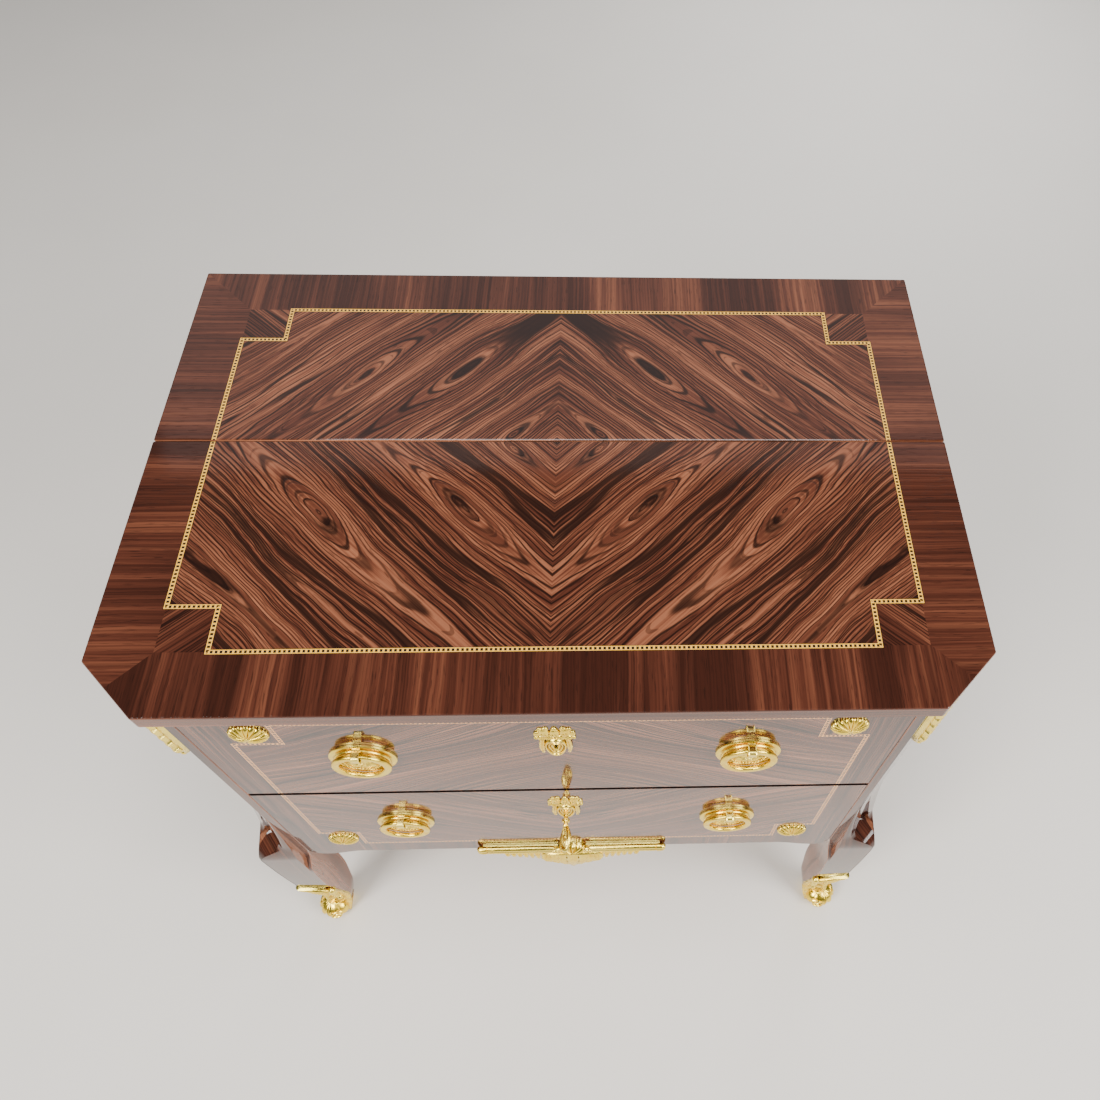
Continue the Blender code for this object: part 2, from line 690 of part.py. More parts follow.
# Writing bed with its leather, between the two leaf bearers
BED_HALF_WIDTH = BOARD_HALF_WIDTH - BEARER_WIDTH - 2 * RUN_CLEARANCE
bed = block(
    "writing_bed",
    (-BED_HALF_WIDTH, FRONT_PLANE, BED_BOTTOM),
    (BED_HALF_WIDTH, BOARD_BACK, BED_TOP),
    CASE,
    ROSEWOOD,
)
leather_x = BED_HALF_WIDTH - LEATHER_MARGIN
leather_front = FRONT_PLANE + LEATHER_MARGIN
leather_back = SEAM_Y
cut_block(
    bed,
    "leather_recess",
    (-leather_x - FIT, leather_front - FIT, BED_TOP - LEATHER_RECESS),
    (leather_x + FIT, leather_back + FIT, BED_TOP + LEATHER_RECESS),
    CASE,
)
GROOVE_MIDDLE = (BED_TOP + BED_BOTTOM) / 2
BEARER_BACK = BOARD_BACK - LEAF_TRAVEL_ROOM
TONGUE_FRONT = FRONT_PLANE + GROOVE_STOP + LEAF_TRAVEL
for side_word, side_sign in (("left", -1), ("right", 1)):
    groove_bottom = BED_HALF_WIDTH + RUN_CLEARANCE - TONGUE_WIDTH - GROOVE_CLEARANCE
    edges = sorted((side_sign * groove_bottom, side_sign * (BED_HALF_WIDTH + FIT)))
    half_groove = TONGUE_HEIGHT / 2 + GROOVE_CLEARANCE
    cut_block(
        bed,
        f"{side_word}_bearer_groove",
        (edges[0], TONGUE_FRONT - LEAF_TRAVEL - GROOVE_CLEARANCE, GROOVE_MIDDLE - half_groove),
        (edges[1], BOARD_BACK + FIT, GROOVE_MIDDLE + half_groove),
        CASE,
    )
block(
    "bed_leather",
    (-leather_x, leather_front, BED_TOP - LEATHER_RECESS + FIT),
    (leather_x, leather_back, BED_TOP - LEATHER_RECESS + FIT + LEATHER_THICKNESS),
    CASE,
    LEATHER,
)

# The divided top: rear leaf fixed, front leaf drawn forward on two bearers
rear_leaf = block(
    "rear_leaf",
    (-TOP_WIDTH / 2, SEAM_Y + SEAM_GAP / 2, LEAF_BOTTOM),
    (TOP_WIDTH / 2, TOP_DEPTH / 2, HEIGHT),
    CASE,
    ROSEWOOD,
)
round_arrises(rear_leaf, TOP_ARRIS)
leaf_half = TOP_WIDTH / 2
leaf_back = SEAM_Y - SEAM_GAP / 2
leaf_front = -TOP_DEPTH / 2
leaf_outline = [
    (-leaf_half, leaf_back),
    (-leaf_half, leaf_front + TOP_CORNER_CUT),
    (-leaf_half + TOP_CORNER_CUT, leaf_front),
    (leaf_half - TOP_CORNER_CUT, leaf_front),
    (leaf_half, leaf_front + TOP_CORNER_CUT),
    (leaf_half, leaf_back),
]
LAY_FLAT = Matrix.Rotation(math.radians(-90.0), 4, "X")
leaf_middle = (0.0, 0.0, LEAF_BOTTOM + TOP_THICKNESS / 2)
front_leaf = outlined("front_leaf", leaf_outline, TOP_THICKNESS, leaf_middle, LEAF, ROSEWOOD, LAY_FLAT)
round_arrises(front_leaf, TOP_ARRIS)
for side_word, side_sign in (("left", -1), ("right", 1)):
    inner_x = BED_HALF_WIDTH + RUN_CLEARANCE
    edges = sorted((side_sign * inner_x, side_sign * (inner_x + BEARER_WIDTH)))
    bearer = block(
        f"{side_word}_leaf_bearer",
        (edges[0], FRONT_PLANE + BEARER_END_SPACE, BED_BOTTOM),
        (edges[1], BEARER_BACK, LEAF_BOTTOM - FIT),
        LEAF,
        BEECH,
    )
    edges = sorted((side_sign * (inner_x - TONGUE_WIDTH), side_sign * (inner_x + TONGUE_WIDTH)))
    tongue = block(
        f"{side_word}_bearer_tongue",
        (edges[0], TONGUE_FRONT, GROOVE_MIDDLE - TONGUE_HEIGHT / 2),
        (edges[1], BEARER_BACK, GROOVE_MIDDLE + TONGUE_HEIGHT / 2),
        LEAF,
        BEECH,
    )
    combine(bearer, tongue, "UNION")


# Drawers
def lower_front_outline():
    """The lower front: rounded lobes at the feet of the posts and a tongue in the middle."""
    half = DRAWER_HALF_WIDTH
    edge = LOWER_FRONT_BOTTOM
    lobe = edge - LOBE_DROP
    lobe_inner = half - LOBE_RADIUS - LOBE_WIDTH
    right = [(0.0, LOWER_FRONT_TOP), (half, LOWER_FRONT_TOP)]
    right += arc((half - LOBE_RADIUS, lobe + LOBE_RADIUS), LOBE_RADIUS, 0.0, -90.0, 5)
    right += ease((half - LOBE_RADIUS, lobe), (lobe_inner, edge), 6)
    right += [(lobe_inner, edge), (APRON_TONGUE_HALF_WIDTH, edge)]
    right += ease((APRON_TONGUE_HALF_WIDTH, edge), (0.0, edge - APRON_DROP), 8)
    right += [(0.0, edge - APRON_DROP)]
    return mirrored(right)


def keyhole(obj, level, depth_from, depth_to, parent):
    """Cut a round keyhole with a slot below it, through a stated depth."""
    middle = (depth_from + depth_to) / 2
    length = depth_to - depth_from
    name = obj.name
    round_hole = rod(name + "_hole", KEYHOLE_RADIUS, length, (0.0, middle, level), FACE_FRONT, parent, IRON, 12)
    combine(obj, round_hole, "DIFFERENCE")
    half = KEY_SLOT_WIDTH / 2
    low = (-half, depth_from, level - KEY_SLOT_DROP)
    return cut_block(obj, name + "_slot", low, (half, depth_to, level), parent)


def drawer_box(word, parent, board_top, ceiling):
    """Two sides, a back and a bottom behind a drawer front."""
    outer = DRAWER_HALF_WIDTH - RUN_CLEARANCE
    inner = outer - DRAWER_SIDE_THICKNESS
    low_z = board_top + FIT
    top_z = ceiling - DRAWER_SIDE_DROP
    start = FRONT_BACK_FACE + FIT
    end = BACK_INNER_Y - DRAWER_BACK_ROOM
    back_start = end - DRAWER_SIDE_THICKNESS
    for side_word, side_sign in (("left", -1), ("right", 1)):
        edges = sorted((side_sign * inner, side_sign * outer))
        block(f"{word}_drawer_{side_word}_side", (edges[0], start, low_z), (edges[1], end, top_z), parent, BEECH)
    across = inner - FIT
    block(f"{word}_drawer_back", (-across, back_start, low_z), (across, end, top_z), parent, BEECH)
    floor = low_z + DRAWER_BOTTOM_RAISE
    block(
        f"{word}_drawer_bottom",
        (-across, start, floor),
        (across, back_start - FIT, floor + DRAWER_BOTTOM_THICKNESS),
        parent,
        BEECH,
    )


def lock(word, parent, ceiling, level):
    """The lock behind a front: a case with a bolt channel and a chamber for the key bit."""
    top = ceiling - LOCK_CLEARANCE
    half = LOCK_WIDTH / 2
    back = LOCK_FRONT_Y + LOCK_THICKNESS
    made = block(f"{word}_lock", (-half, LOCK_FRONT_Y, level - LOCK_TAIL), (half, back, top), parent, IRON)
    bolt_bottom = level + KEY_SHAFT_RADIUS + BOLT_TAIL_GAP
    half_x = BOLT_WIDTH / 2 + BOLT_CLEARANCE
    half_y = BOLT_THICKNESS / 2 + BOLT_CLEARANCE
    channel_low = (-half_x, BOLT_Y - half_y, bolt_bottom - BOLT_CLEARANCE)
    cut_block(made, f"{word}_bolt_channel", channel_low, (half_x, BOLT_Y + half_y, top + FIT), parent)
    keyhole(made, level, LOCK_FRONT_Y - FIT, BOLT_Y, parent)
    chamber_radius = KEY_BIT_REACH + KEY_CHAMBER_CLEARANCE
    chamber_length = KEY_BIT_LENGTH + 2 * KEY_CHAMBER_CLEARANCE
    middle = (0.0, BOLT_Y, level)
    chamber = rod(f"{word}_key_chamber", chamber_radius, chamber_length, middle, FACE_FRONT, parent, IRON, 16)
    combine(made, chamber, "DIFFERENCE")
    bolt = carrier(f"{word}_bolt_slide", (0.0, BOLT_Y, top), parent)
    bolt_low = (-BOLT_WIDTH / 2, BOLT_Y - BOLT_THICKNESS / 2, bolt_bottom)
    bolt_high = (BOLT_WIDTH / 2, BOLT_Y + BOLT_THICKNESS / 2, top - BOLT_CLEARANCE)
    block(f"{word}_lock_bolt", bolt_low, bolt_high, bolt, IRON)


def escutcheon(word, parent, level):
    """A keyhole plate: a ribboned bow above, an oval plate below between two drooping tails."""
    half = ESCUTCHEON_WIDTH / 2
    lobe = ESCUTCHEON_LOBE_RADIUS
    top = ESCUTCHEON_RISE
    right = [(0.0, top)]
    right += arc((0.0, top - lobe), lobe, 60.0, 20.0, 2)
    right += arc((half - lobe, top - ESCUTCHEON_LOBE_STEP), lobe, 110.0, -60.0, 5)
    right += [(ESCUTCHEON_WAIST, top / 2), (half - lobe, top / 3)]
    right += [(half, 0.0), (half - lobe / 2, -ESCUTCHEON_TAIL_DROP)]
    right += [(ESCUTCHEON_TAIL_ROOT, -ESCUTCHEON_TAIL_DROP / 2)]
    oval_height = ESCUTCHEON_PLATE_DROP / (ESCUTCHEON_PLATE_WIDTH / 2)
    oval = arc((0.0, 0.0), ESCUTCHEON_PLATE_WIDTH / 2, -30.0, -90.0, 5)
    right += [(across, up * oval_height) for across, up in oval]
    place = (0.0, FRONT_PLANE - FIT - ESCUTCHEON_THICKNESS / 2, level)
    made = outlined(f"{word}_escutcheon", mirrored(right), ESCUTCHEON_THICKNESS, place, parent, GILT)
    return keyhole(made, level, FRONT_PLANE - 2 * ESCUTCHEON_THICKNESS, FRONT_PLANE, parent)


def rosette(name, parent, across, level):
    """A small domed shell with scalloped lobes and a pointed foot."""
    def shell_outline(share):
        points = []
        count = 4 * ROSETTE_LOBES
        for index in range(count):
            angle = 2 * math.pi * index / count
            ripple = ROSETTE_LOBE_DEPTH * (1 - abs(math.sin(angle * ROSETTE_LOBES / 2)))
            reach = (ROSETTE_RADIUS - ripple) * share
            points.append((-reach * math.sin(angle), -reach * math.cos(angle)))
        return points

    sections = []
    for index in range(5):
        angle = math.radians(75.0 * index / 4)
        sections.append((ROSETTE_RELIEF * math.sin(angle), shell_outline(math.cos(angle))))
    return loft(name, sections, parent, GILT, (across, FRONT_PLANE - FIT, level), FACE_FRONT)


def pull(word, side_word, side_sign, parent, level):
    """A dished plate with an eye, and the ring that hangs in it."""
    across = side_sign * PULL_X
    rim_inner = PULL_CUP_RADIUS - PULL_RIM_WIDTH
    boss_rise = PULL_BOSS_HEIGHT - PULL_PLATE_BASE
    profile = []
    for index in range(4):
        angle = math.radians(90.0 * index / 3)
        profile.append((PULL_BOSS_RADIUS * math.sin(angle), PULL_PLATE_BASE + boss_rise * math.cos(angle)))
    profile.append((rim_inner, PULL_PLATE_BASE))
    for index in range(4):
        angle = math.radians(180.0 - 180.0 * index / 3)
        round_off = PULL_RIM_WIDTH / 2 * math.sin(angle)
        profile.append(
            (PULL_CUP_RADIUS - PULL_RIM_WIDTH / 2 + PULL_RIM_WIDTH / 2 * math.cos(angle),
             PULL_RIM_HEIGHT - PULL_RIM_WIDTH / 2 + round_off)
        )
    profile += [
        (PULL_CUP_RADIUS, PULL_FLANGE_RISE),
        (PULL_PLATE_RADIUS, PULL_FLANGE_EDGE),
        (PULL_PLATE_RADIUS, 0.0),
        (0.0, 0.0),
    ]
    made = turned(f"{word}_{side_word}_pull_plate", profile, (across, FRONT_PLANE - FIT, level), parent, GILT)
    pivot = (across, RING_CENTRE_Y, level + RING_RADIUS)
    eye_bore = RING_WIRE + EYE_CLEARANCE
    eye_radius = eye_bore + EYE_WALL
    eye_name = f"{word}_{side_word}_pull_eye"
    eye = rod(eye_name, eye_radius, EYE_LENGTH, pivot, FACE_SIDE, parent, GILT, 16)
    combine(made, eye, "UNION")
    foot_depth = RING_STANDOFF - eye_bore
    foot_low = (across - EYE_LENGTH / 2, FRONT_PLANE - foot_depth, pivot[2] - eye_radius / 2)
    foot_high = (across + EYE_LENGTH / 2, FRONT_PLANE - PULL_PLATE_BASE / 2, pivot[2] + eye_radius / 2)
    combine(made, block(eye_name + "_foot", foot_low, foot_high, parent, GILT), "UNION")
    bore = rod(eye_name + "_bore", eye_bore, 2 * EYE_LENGTH, pivot, FACE_SIDE, parent, GILT, 16)
    combine(made, bore, "DIFFERENCE")
    hang = carrier(f"{word}_{side_word}_ring_hinge", pivot, parent)
    bpy.ops.mesh.primitive_torus_add(
        major_radius=RING_RADIUS, minor_radius=RING_WIRE, major_segments=28, minor_segments=10
    )
    ring = bpy.context.active_object
    ring.name = f"{word}_{side_word}_ring"
    for group in list(ring.users_collection):
        group.objects.unlink(ring)
    DESK.objects.link(ring)
    flatten = Matrix.Scale(RING_THICKNESS / (2 * RING_WIRE), 4, Vector((0.0, 0.0, 1.0)))
    ring.data.transform(Matrix.Translation((0.0, 0.0, -RING_RADIUS)) @ FACE_FRONT @ flatten)
    ring.data.shade_smooth()
    put(ring, pivot, hang, GILT)


def drawer(word, parent, front, board_top, ceiling, front_top, pull_level, rosette_level):
    """One drawer with its box, lock and gilt mounts."""
    level = front_top - KEYHOLE_DROP
    keyhole(front, level, FRONT_PLANE - FIT, FRONT_BACK_FACE + FIT, parent)
    drawer_box(word, parent, board_top, ceiling)
    lock(word, parent, ceiling, level)
    escutcheon(word, parent, level)
    for side_word, side_sign in (("left", -1), ("right", 1)):
        pull(word, side_word, side_sign, parent, pull_level)
        rosette(f"{word}_{side_word}_rosette", parent, side_sign * ROSETTE_X, rosette_level)
    return level


upper_front = block(
    "upper_drawer_front",
    (-DRAWER_HALF_WIDTH, FRONT_PLANE, UPPER_FRONT_BOTTOM),
    (DRAWER_HALF_WIDTH, FRONT_BACK_FACE, UPPER_FRONT_TOP),
    UPPER_DRAWER,
    ROSEWOOD,
)
drawer(
    "upper",
    UPPER_DRAWER,
    upper_front,
    DUST_BOARD_TOP,
    TOP_BOARD_BOTTOM,
    UPPER_FRONT_TOP,
    UPPER_PULL_LEVEL,
    UPPER_ROSETTE_LEVEL,
)
lower_front = outlined(
    "lower_drawer_front",
    lower_front_outline(),
    FRONT_THICKNESS,
    (0.0, FRONT_PLANE + FRONT_THICKNESS / 2, 0.0),
    LOWER_DRAWER,
    ROSEWOOD,
)
key_level = drawer(
    "lower",
    LOWER_DRAWER,
    lower_front,
    BOTTOM_BOARD_TOP,
    DUST_BOARD_BOTTOM,
    LOWER_FRONT_TOP,
    LOWER_PULL_LEVEL,
    LOWER_ROSETTE_LEVEL,
)


def apron_mount():
    """The gilt mount on the tongue of the lower front: two reeds with collars and a leafy drop."""
    base = LOWER_FRONT_BOTTOM - APRON_BAR_DROP
    reed_y = FRONT_PLANE - FIT - APRON_REED_LIFT - APRON_REED_RADIUS
    between = base + APRON_REED_RADIUS + APRON_REED_PITCH / 2
    right = [(0.0, between), (APRON_LEAF_HALF_WIDTH, between)]
    count = 8 * APRON_LEAF_LOBES
    for index in range(count + 1):
        share = index / count
        swing = share ** APRON_LEAF_SAG
        ripple = APRON_LEAF_LOBE_DEPTH * abs(math.sin(math.pi * APRON_LEAF_LOBES * share))
        right.append((APRON_LEAF_HALF_WIDTH * (1 - share), base - APRON_LEAF_DROP * swing - ripple))
    place = (0.0, FRONT_PLANE - FIT - APRON_THICKNESS / 2, 0.0)
    made = outlined("apron_mount", mirrored(right), APRON_THICKNESS, place, LOWER_DRAWER, GILT)
    for index, length in enumerate((2 * APRON_HALF_WIDTH - APRON_REED_STEP, 2 * APRON_HALF_WIDTH)):
        middle = (0.0, reed_y, base + APRON_REED_LIFT + APRON_REED_RADIUS + index * APRON_REED_PITCH)
        reed = rod(f"apron_reed_{index}", APRON_REED_RADIUS, length, middle, FACE_SIDE, LOWER_DRAWER, GILT, 12)
        combine(made, reed, "UNION")
    for side_sign in (-1, 1):
        middle = (
            side_sign * (APRON_HALF_WIDTH - APRON_COLLAR_INSET),
            reed_y,
            base + APRON_REED_LIFT + APRON_REED_RADIUS + APRON_REED_PITCH / 2,
        )
        height = APRON_REED_PITCH + 2 * APRON_COLLAR_RADIUS
        size = Vector((APRON_COLLAR_LENGTH, 2 * APRON_REED_RADIUS, height))
        collar = put(mesh_object(f"apron_collar_{side_sign}", block_mesh(size)), middle, LOWER_DRAWER, GILT)
        combine(made, collar, "UNION")
    return made


apron_mount()


def key():
    """The key in the lower lock: shaft with a collar, oval bow and bit, turning about its shaft."""
    turn = carrier("key_turn", (0.0, FRONT_PLANE, key_level), LOWER_DRAWER)
    shaft_end = BOLT_Y + KEY_BIT_LENGTH / 2
    shaft_start = KEY_TIP_Y + KEY_BOW_LENGTH - KEY_SHAFT_SEAT
    middle = (0.0, (shaft_start + shaft_end) / 2, key_level)
    made = rod("lock_key", KEY_SHAFT_RADIUS, shaft_end - shaft_start, middle, FACE_FRONT, turn, GILT, 12)
    collar_place = (0.0, shaft_start + KEY_COLLAR_STANDOFF, key_level)
    collar = rod("key_collar", KEY_COLLAR_RADIUS, KEY_COLLAR_LENGTH, collar_place, FACE_FRONT, turn, GILT, 12)
    combine(made, collar, "UNION")
    bit_half = KEY_BIT_WIDTH / 2
    bit_low = (-bit_half, BOLT_Y - KEY_BIT_LENGTH / 2, key_level - KEY_BIT_REACH)
    bit = block("key_bit", bit_low, (bit_half, shaft_end - KEY_BIT_STEP, key_level), turn, GILT)
    combine(made, bit, "UNION")
    half_length = KEY_BOW_LENGTH / 2 - KEY_BOW_WIRE
    half_height = KEY_BOW_HEIGHT / 2 - KEY_BOW_WIRE
    curve = bpy.data.curves.new("key_bow", "CURVE")
    curve.dimensions = "3D"
    curve.bevel_depth = KEY_BOW_WIRE
    curve.bevel_resolution = 2
    spline = curve.splines.new("POLY")
    count = 24
    spline.points.add(count - 1)
    for index, spot in enumerate(spline.points):
        angle = 2 * math.pi * index / count
        rise = half_height * math.sin(angle)
        across = rise * math.sin(KEY_BOW_TURN)
        spot.co = (across, half_length * math.cos(angle), rise * math.cos(KEY_BOW_TURN), 1.0)
    spline.use_cyclic_u = True
    bow = mesh_object("key_bow", welded(curve))
    put(bow, (0.0, KEY_TIP_Y + KEY_BOW_LENGTH / 2, key_level), turn, GILT)
    return combine(made, bow, "UNION")


key()
bpy.context.view_layer.update()
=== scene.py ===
"""The looks of the convertible desk: rosewood veneers, stringing, cast gilt mounts, linings and light."""
import math

import bmesh
import bpy
from mathutils import Matrix, Vector


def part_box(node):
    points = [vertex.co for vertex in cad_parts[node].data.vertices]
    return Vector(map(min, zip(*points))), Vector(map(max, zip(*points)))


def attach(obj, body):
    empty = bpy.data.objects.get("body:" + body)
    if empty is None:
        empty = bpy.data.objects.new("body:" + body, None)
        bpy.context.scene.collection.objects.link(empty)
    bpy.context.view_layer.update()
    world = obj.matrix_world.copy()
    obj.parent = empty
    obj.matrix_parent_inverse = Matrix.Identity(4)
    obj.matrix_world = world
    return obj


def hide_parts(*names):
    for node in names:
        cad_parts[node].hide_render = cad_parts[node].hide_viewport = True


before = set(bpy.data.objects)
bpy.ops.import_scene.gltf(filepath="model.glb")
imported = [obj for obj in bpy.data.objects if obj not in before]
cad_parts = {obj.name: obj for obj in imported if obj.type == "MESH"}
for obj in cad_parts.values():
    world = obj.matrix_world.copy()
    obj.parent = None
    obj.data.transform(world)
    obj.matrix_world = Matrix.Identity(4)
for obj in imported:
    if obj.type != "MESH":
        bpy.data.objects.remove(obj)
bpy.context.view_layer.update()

# Places on the desk, in metres in the shared frame
SEAM_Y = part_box("rear_leaf")[0].y - 0.0008
TOP_FRONT_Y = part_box("front_leaf")[0].y
TOP_BACK_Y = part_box("rear_leaf")[1].y
DRAWER_SPLIT_Z = (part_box("upper_drawer_front")[0].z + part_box("lower_drawer_front")[1].z) / 2
CASE_MIDDLE_Y = (TOP_FRONT_Y + TOP_BACK_Y) / 2
KEYHOLE_DROP = 0.061
CORNER_X = 0.3820
CORNER_Y = 0.2535
CANT = 0.0350

# Stringing: inset of its middle line from the edges of the top, size of its corner notches, its width
TOP_STRING_SIDE = 0.3410
TOP_STRING_FRONT = TOP_FRONT_Y + 0.0616
TOP_STRING_BACK = TOP_BACK_Y - 0.0588
TOP_STRING_NOTCH = 0.0456
STRING_WIDTH = 0.0044
STRING_PITCH = 0.00415
FRONT_STRING_SIDE = 0.3016
FRONT_STRING_LOW = 0.3460
FRONT_STRING_HIGH = 0.7300
FRONT_STRING_NOTCH = 0.0455


# Shader maths
class Wire:
    """A socket of a finish; using it in an expression adds the nodes that the expression needs."""

    def __init__(self, finish, socket):
        self.finish = finish
        self.socket = socket

    def work(self, operation, first, second=None, third=None):
        parts = {index: part for index, part in enumerate((first, second, third)) if part is not None}
        return self.finish.node("ShaderNodeMath", {"operation": operation}, parts)

    def __add__(self, other):
        return self.work("ADD", self, other)

    def __radd__(self, other):
        return self.work("ADD", other, self)

    def __sub__(self, other):
        return self.work("SUBTRACT", self, other)

    def __rsub__(self, other):
        return self.work("SUBTRACT", other, self)

    def __mul__(self, other):
        return self.work("MULTIPLY", self, other)

    def __rmul__(self, other):
        return self.work("MULTIPLY", other, self)

    def __truediv__(self, other):
        return self.work("DIVIDE", self, other)

    def __mod__(self, other):
        return self.work("FLOORED_MODULO", self, other)

    def __gt__(self, other):
        return self.work("GREATER_THAN", self, other)

    def __lt__(self, other):
        return self.work("LESS_THAN", self, other)

    def __abs__(self):
        return self.work("ABSOLUTE", self)

    def least(self, other):
        return self.work("MINIMUM", self, other)

    def most(self, other):
        return self.work("MAXIMUM", self, other)

    def root(self):
        return self.work("SQRT", self)

    def soft_least(self, other, blend):
        return self.work("SMOOTH_MIN", self, other, blend)

    def between(self, low, high, start=0.0, end=1.0):
        """A soft step from start to end as the value goes from low to high."""
        sockets = {"Value": self, "From Min": low, "From Max": high, "To Min": start, "To Max": end}
        return self.finish.node("ShaderNodeMapRange", {"interpolation_type": "SMOOTHSTEP"}, sockets)

    def shade(self, *stops):
        """A colour from a ramp of (place, red, green, blue) stops."""
        return self.finish.node("ShaderNodeValToRGB", {"stops": stops}, {"Fac": self})


class Finish:
    """One material, with its Principled shader and the nodes behind it."""

    def __init__(self, name):
        self.material = bpy.data.materials.new(name)
        self.material.use_nodes = True
        self.tree = self.material.node_tree
        self.shader = self.tree.nodes["Principled BSDF"]

    def node(self, kind, settings=None, sockets=None, out=0):
        """A node: its settings first, then the values or links of its sockets."""
        made = self.tree.nodes.new(kind)
        for key, value in (settings or {}).items():
            if key == "stops":
                stops = made.color_ramp.elements
                while len(stops) < len(value):
                    stops.new(0.5)
                for stop, (place, *colour) in zip(stops, value):
                    stop.position = place
                    stop.color = (*colour, 1.0)
            else:
                setattr(made, key, value)
        for key, value in (sockets or {}).items():
            if isinstance(value, Wire):
                self.tree.links.new(value.socket, made.inputs[key])
            else:
                made.inputs[key].default_value = value
        return Wire(self, made.outputs[out])

    def rest_place(self):
        """x, y and z on the piece, in metres."""
        here = self.node("ShaderNodeTexCoord", out=3)
        return [self.node("ShaderNodeSeparateXYZ", None, {0: here}, out=axis) for axis in range(3)]

    def facing(self):
        """x, y and z of the way that the surface faces, on the piece."""
        here = self.node("ShaderNodeTexCoord", out=1)
        return [self.node("ShaderNodeSeparateXYZ", None, {0: here}, out=axis) for axis in range(3)]

    def noise(self, across, along, deep, detail=2.0, rough=0.5):
        """Soft noise from 0 to 1 at a place that is already scaled."""
        place = self.node("ShaderNodeCombineXYZ", None, {0: across, 1: along, 2: deep})
        sockets = {"Vector": place, "Scale": 1.0, "Detail": detail, "Roughness": rough}
        return self.node("ShaderNodeTexNoise", None, sockets)

    def mix(self, share, first, second, blend="MIX"):
        """A colour between two colours."""
        sockets = {0: share, 6: first, 7: second}
        return self.node("ShaderNodeMix", {"data_type": "RGBA", "blend_type": blend}, sockets, out=2)

    def wear(self, settings):
        """Fixed values on the shader's own sockets."""
        for key, value in settings.items():
            self.shader.inputs[key].default_value = value

    def feed(self, **links):
        """Links into the shader: colour, roughness, metallic, coat, height."""
        names = {"colour": "Base Color", "roughness": "Roughness"}
        names.update({"metallic": "Metallic", "coat": "Coat Weight"})
        for key, wire in links.items():
            if key == "height":
                depth, wire = wire
                bump = self.node("ShaderNodeBump", None, {"Height": wire, "Strength": 1.0, "Distance": depth})
                self.tree.links.new(bump.socket, self.shader.inputs["Normal"])
            else:
                self.tree.links.new(wire.socket, self.shader.inputs[names[key]])
        return self


def pick(mask, first, second):
    """second where the mask is 1, first where it is 0."""
    return first + mask * (second - first)


# Rosewood
# Eyes of the veneer on the top: place across and along the grain on a front leaf, then on a rear leaf,
# and the half width and half length over which the rings close
VENEER_EYES = (
    (0.2185, -0.100, 0.2050, -0.085, 0.0200, 0.085),
    (0.1170, -0.004, 0.1350, -0.004, 0.0190, 0.080),
    (0.3250, -0.130, 0.2900, -0.150, 0.0090, 0.080),
    (0.0340, -0.024, 0.0340, -0.026, 0.0110, 0.030),
)


def veneer_eyes(f, run, over, behind):
    """Metres out from the heart lines of the veneer: rings close round long eyes and run on between them."""
    sway = f.noise(over * 9.0, run * 4.0, 1.5, 2.0) - 0.5
    waver = f.noise(over * 70.0, run * 26.0, 8.5, 1.0) - 0.5
    bent = over + 0.040 * sway + 0.0036 * waver
    found = None
    for front_over, front_run, rear_over, rear_run, wide, long in VENEER_EYES:
        out = bent - pick(behind, front_over, rear_over)
        along = (run - pick(behind, front_run, rear_run)) / long
        square = along * along
        far = (out * out + wide * wide * square / (1.0 + square)).root()
        found = far if found is None else found.soft_least(far, 0.008)
    return found


def rosewood_figure(f, run, over, seed, wild, zones=24.0):
    """Zones, streaks, ring lines and pores: run is metres along the grain, over is metres across it."""
    swell = f.noise(over * 10.0, run * 3.2, seed, 1.0) - 0.5
    ripple = f.noise(over * 42.0, run * 12.0, seed + 3.0, 2.0) - 0.5
    level = over + wild * 0.080 * swell + 0.0042 * ripple
    broad = f.noise(level * zones, run * 1.6, seed + 7.0, 1.0)
    streak = f.noise(level * 240.0, run * 2.6, seed + 11.0, 2.0)
    beat = level * 330.0 + 2.2 * f.noise(level * 90.0, run * 3.0, seed + 17.0, 1.0)
    ring = (abs(beat % 1.0 - 0.5)).between(0.26, 0.06)
    firm = f.noise(level * 60.0, run * 5.0, seed + 19.0, 1.0).between(0.30, 0.58, 0.35, 1.0)
    bold = abs(f.noise(level * 120.0, run * 1.5, seed + 29.0, 0.0) - 0.5).between(0.050, 0.010)
    pores = f.noise(level * 1500.0, run * 70.0, seed + 23.0, 0.0)
    return broad, streak, (ring * firm).most(bold), pores


def rosewood_colour(f, figure, warm, calm=0.0, core=0.0):
    """The colour of the veneer: warm lifts the orange, calm softens the lines, core blackens the heart."""
    broad, streak, line, pores = figure
    zone = broad.between(0.26, 0.74) * (0.32 + 0.16 * calm)
    tone = zone + (0.50 - 0.16 * calm) * streak.between(0.26, 0.74) + 0.13 * warm
    ground = tone.shade(
        (0.00, 0.030, 0.0078, 0.0040),
        (0.28, 0.066, 0.0185, 0.0098),
        (0.55, 0.138, 0.0450, 0.0225),
        (0.80, 0.245, 0.0900, 0.0450),
        (1.00, 0.350, 0.1400, 0.0720),
    )
    dark = (0.0085, 0.0026, 0.0015, 1.0)
    drawn = line * (0.92 - 0.62 * calm)
    veined = f.mix(drawn, ground, dark)
    cored = f.mix(core, veined, dark)
    fleck = pores.between(0.34, 0.25, 0.0, 0.5)
    return f.mix(fleck, cored, dark), drawn, fleck


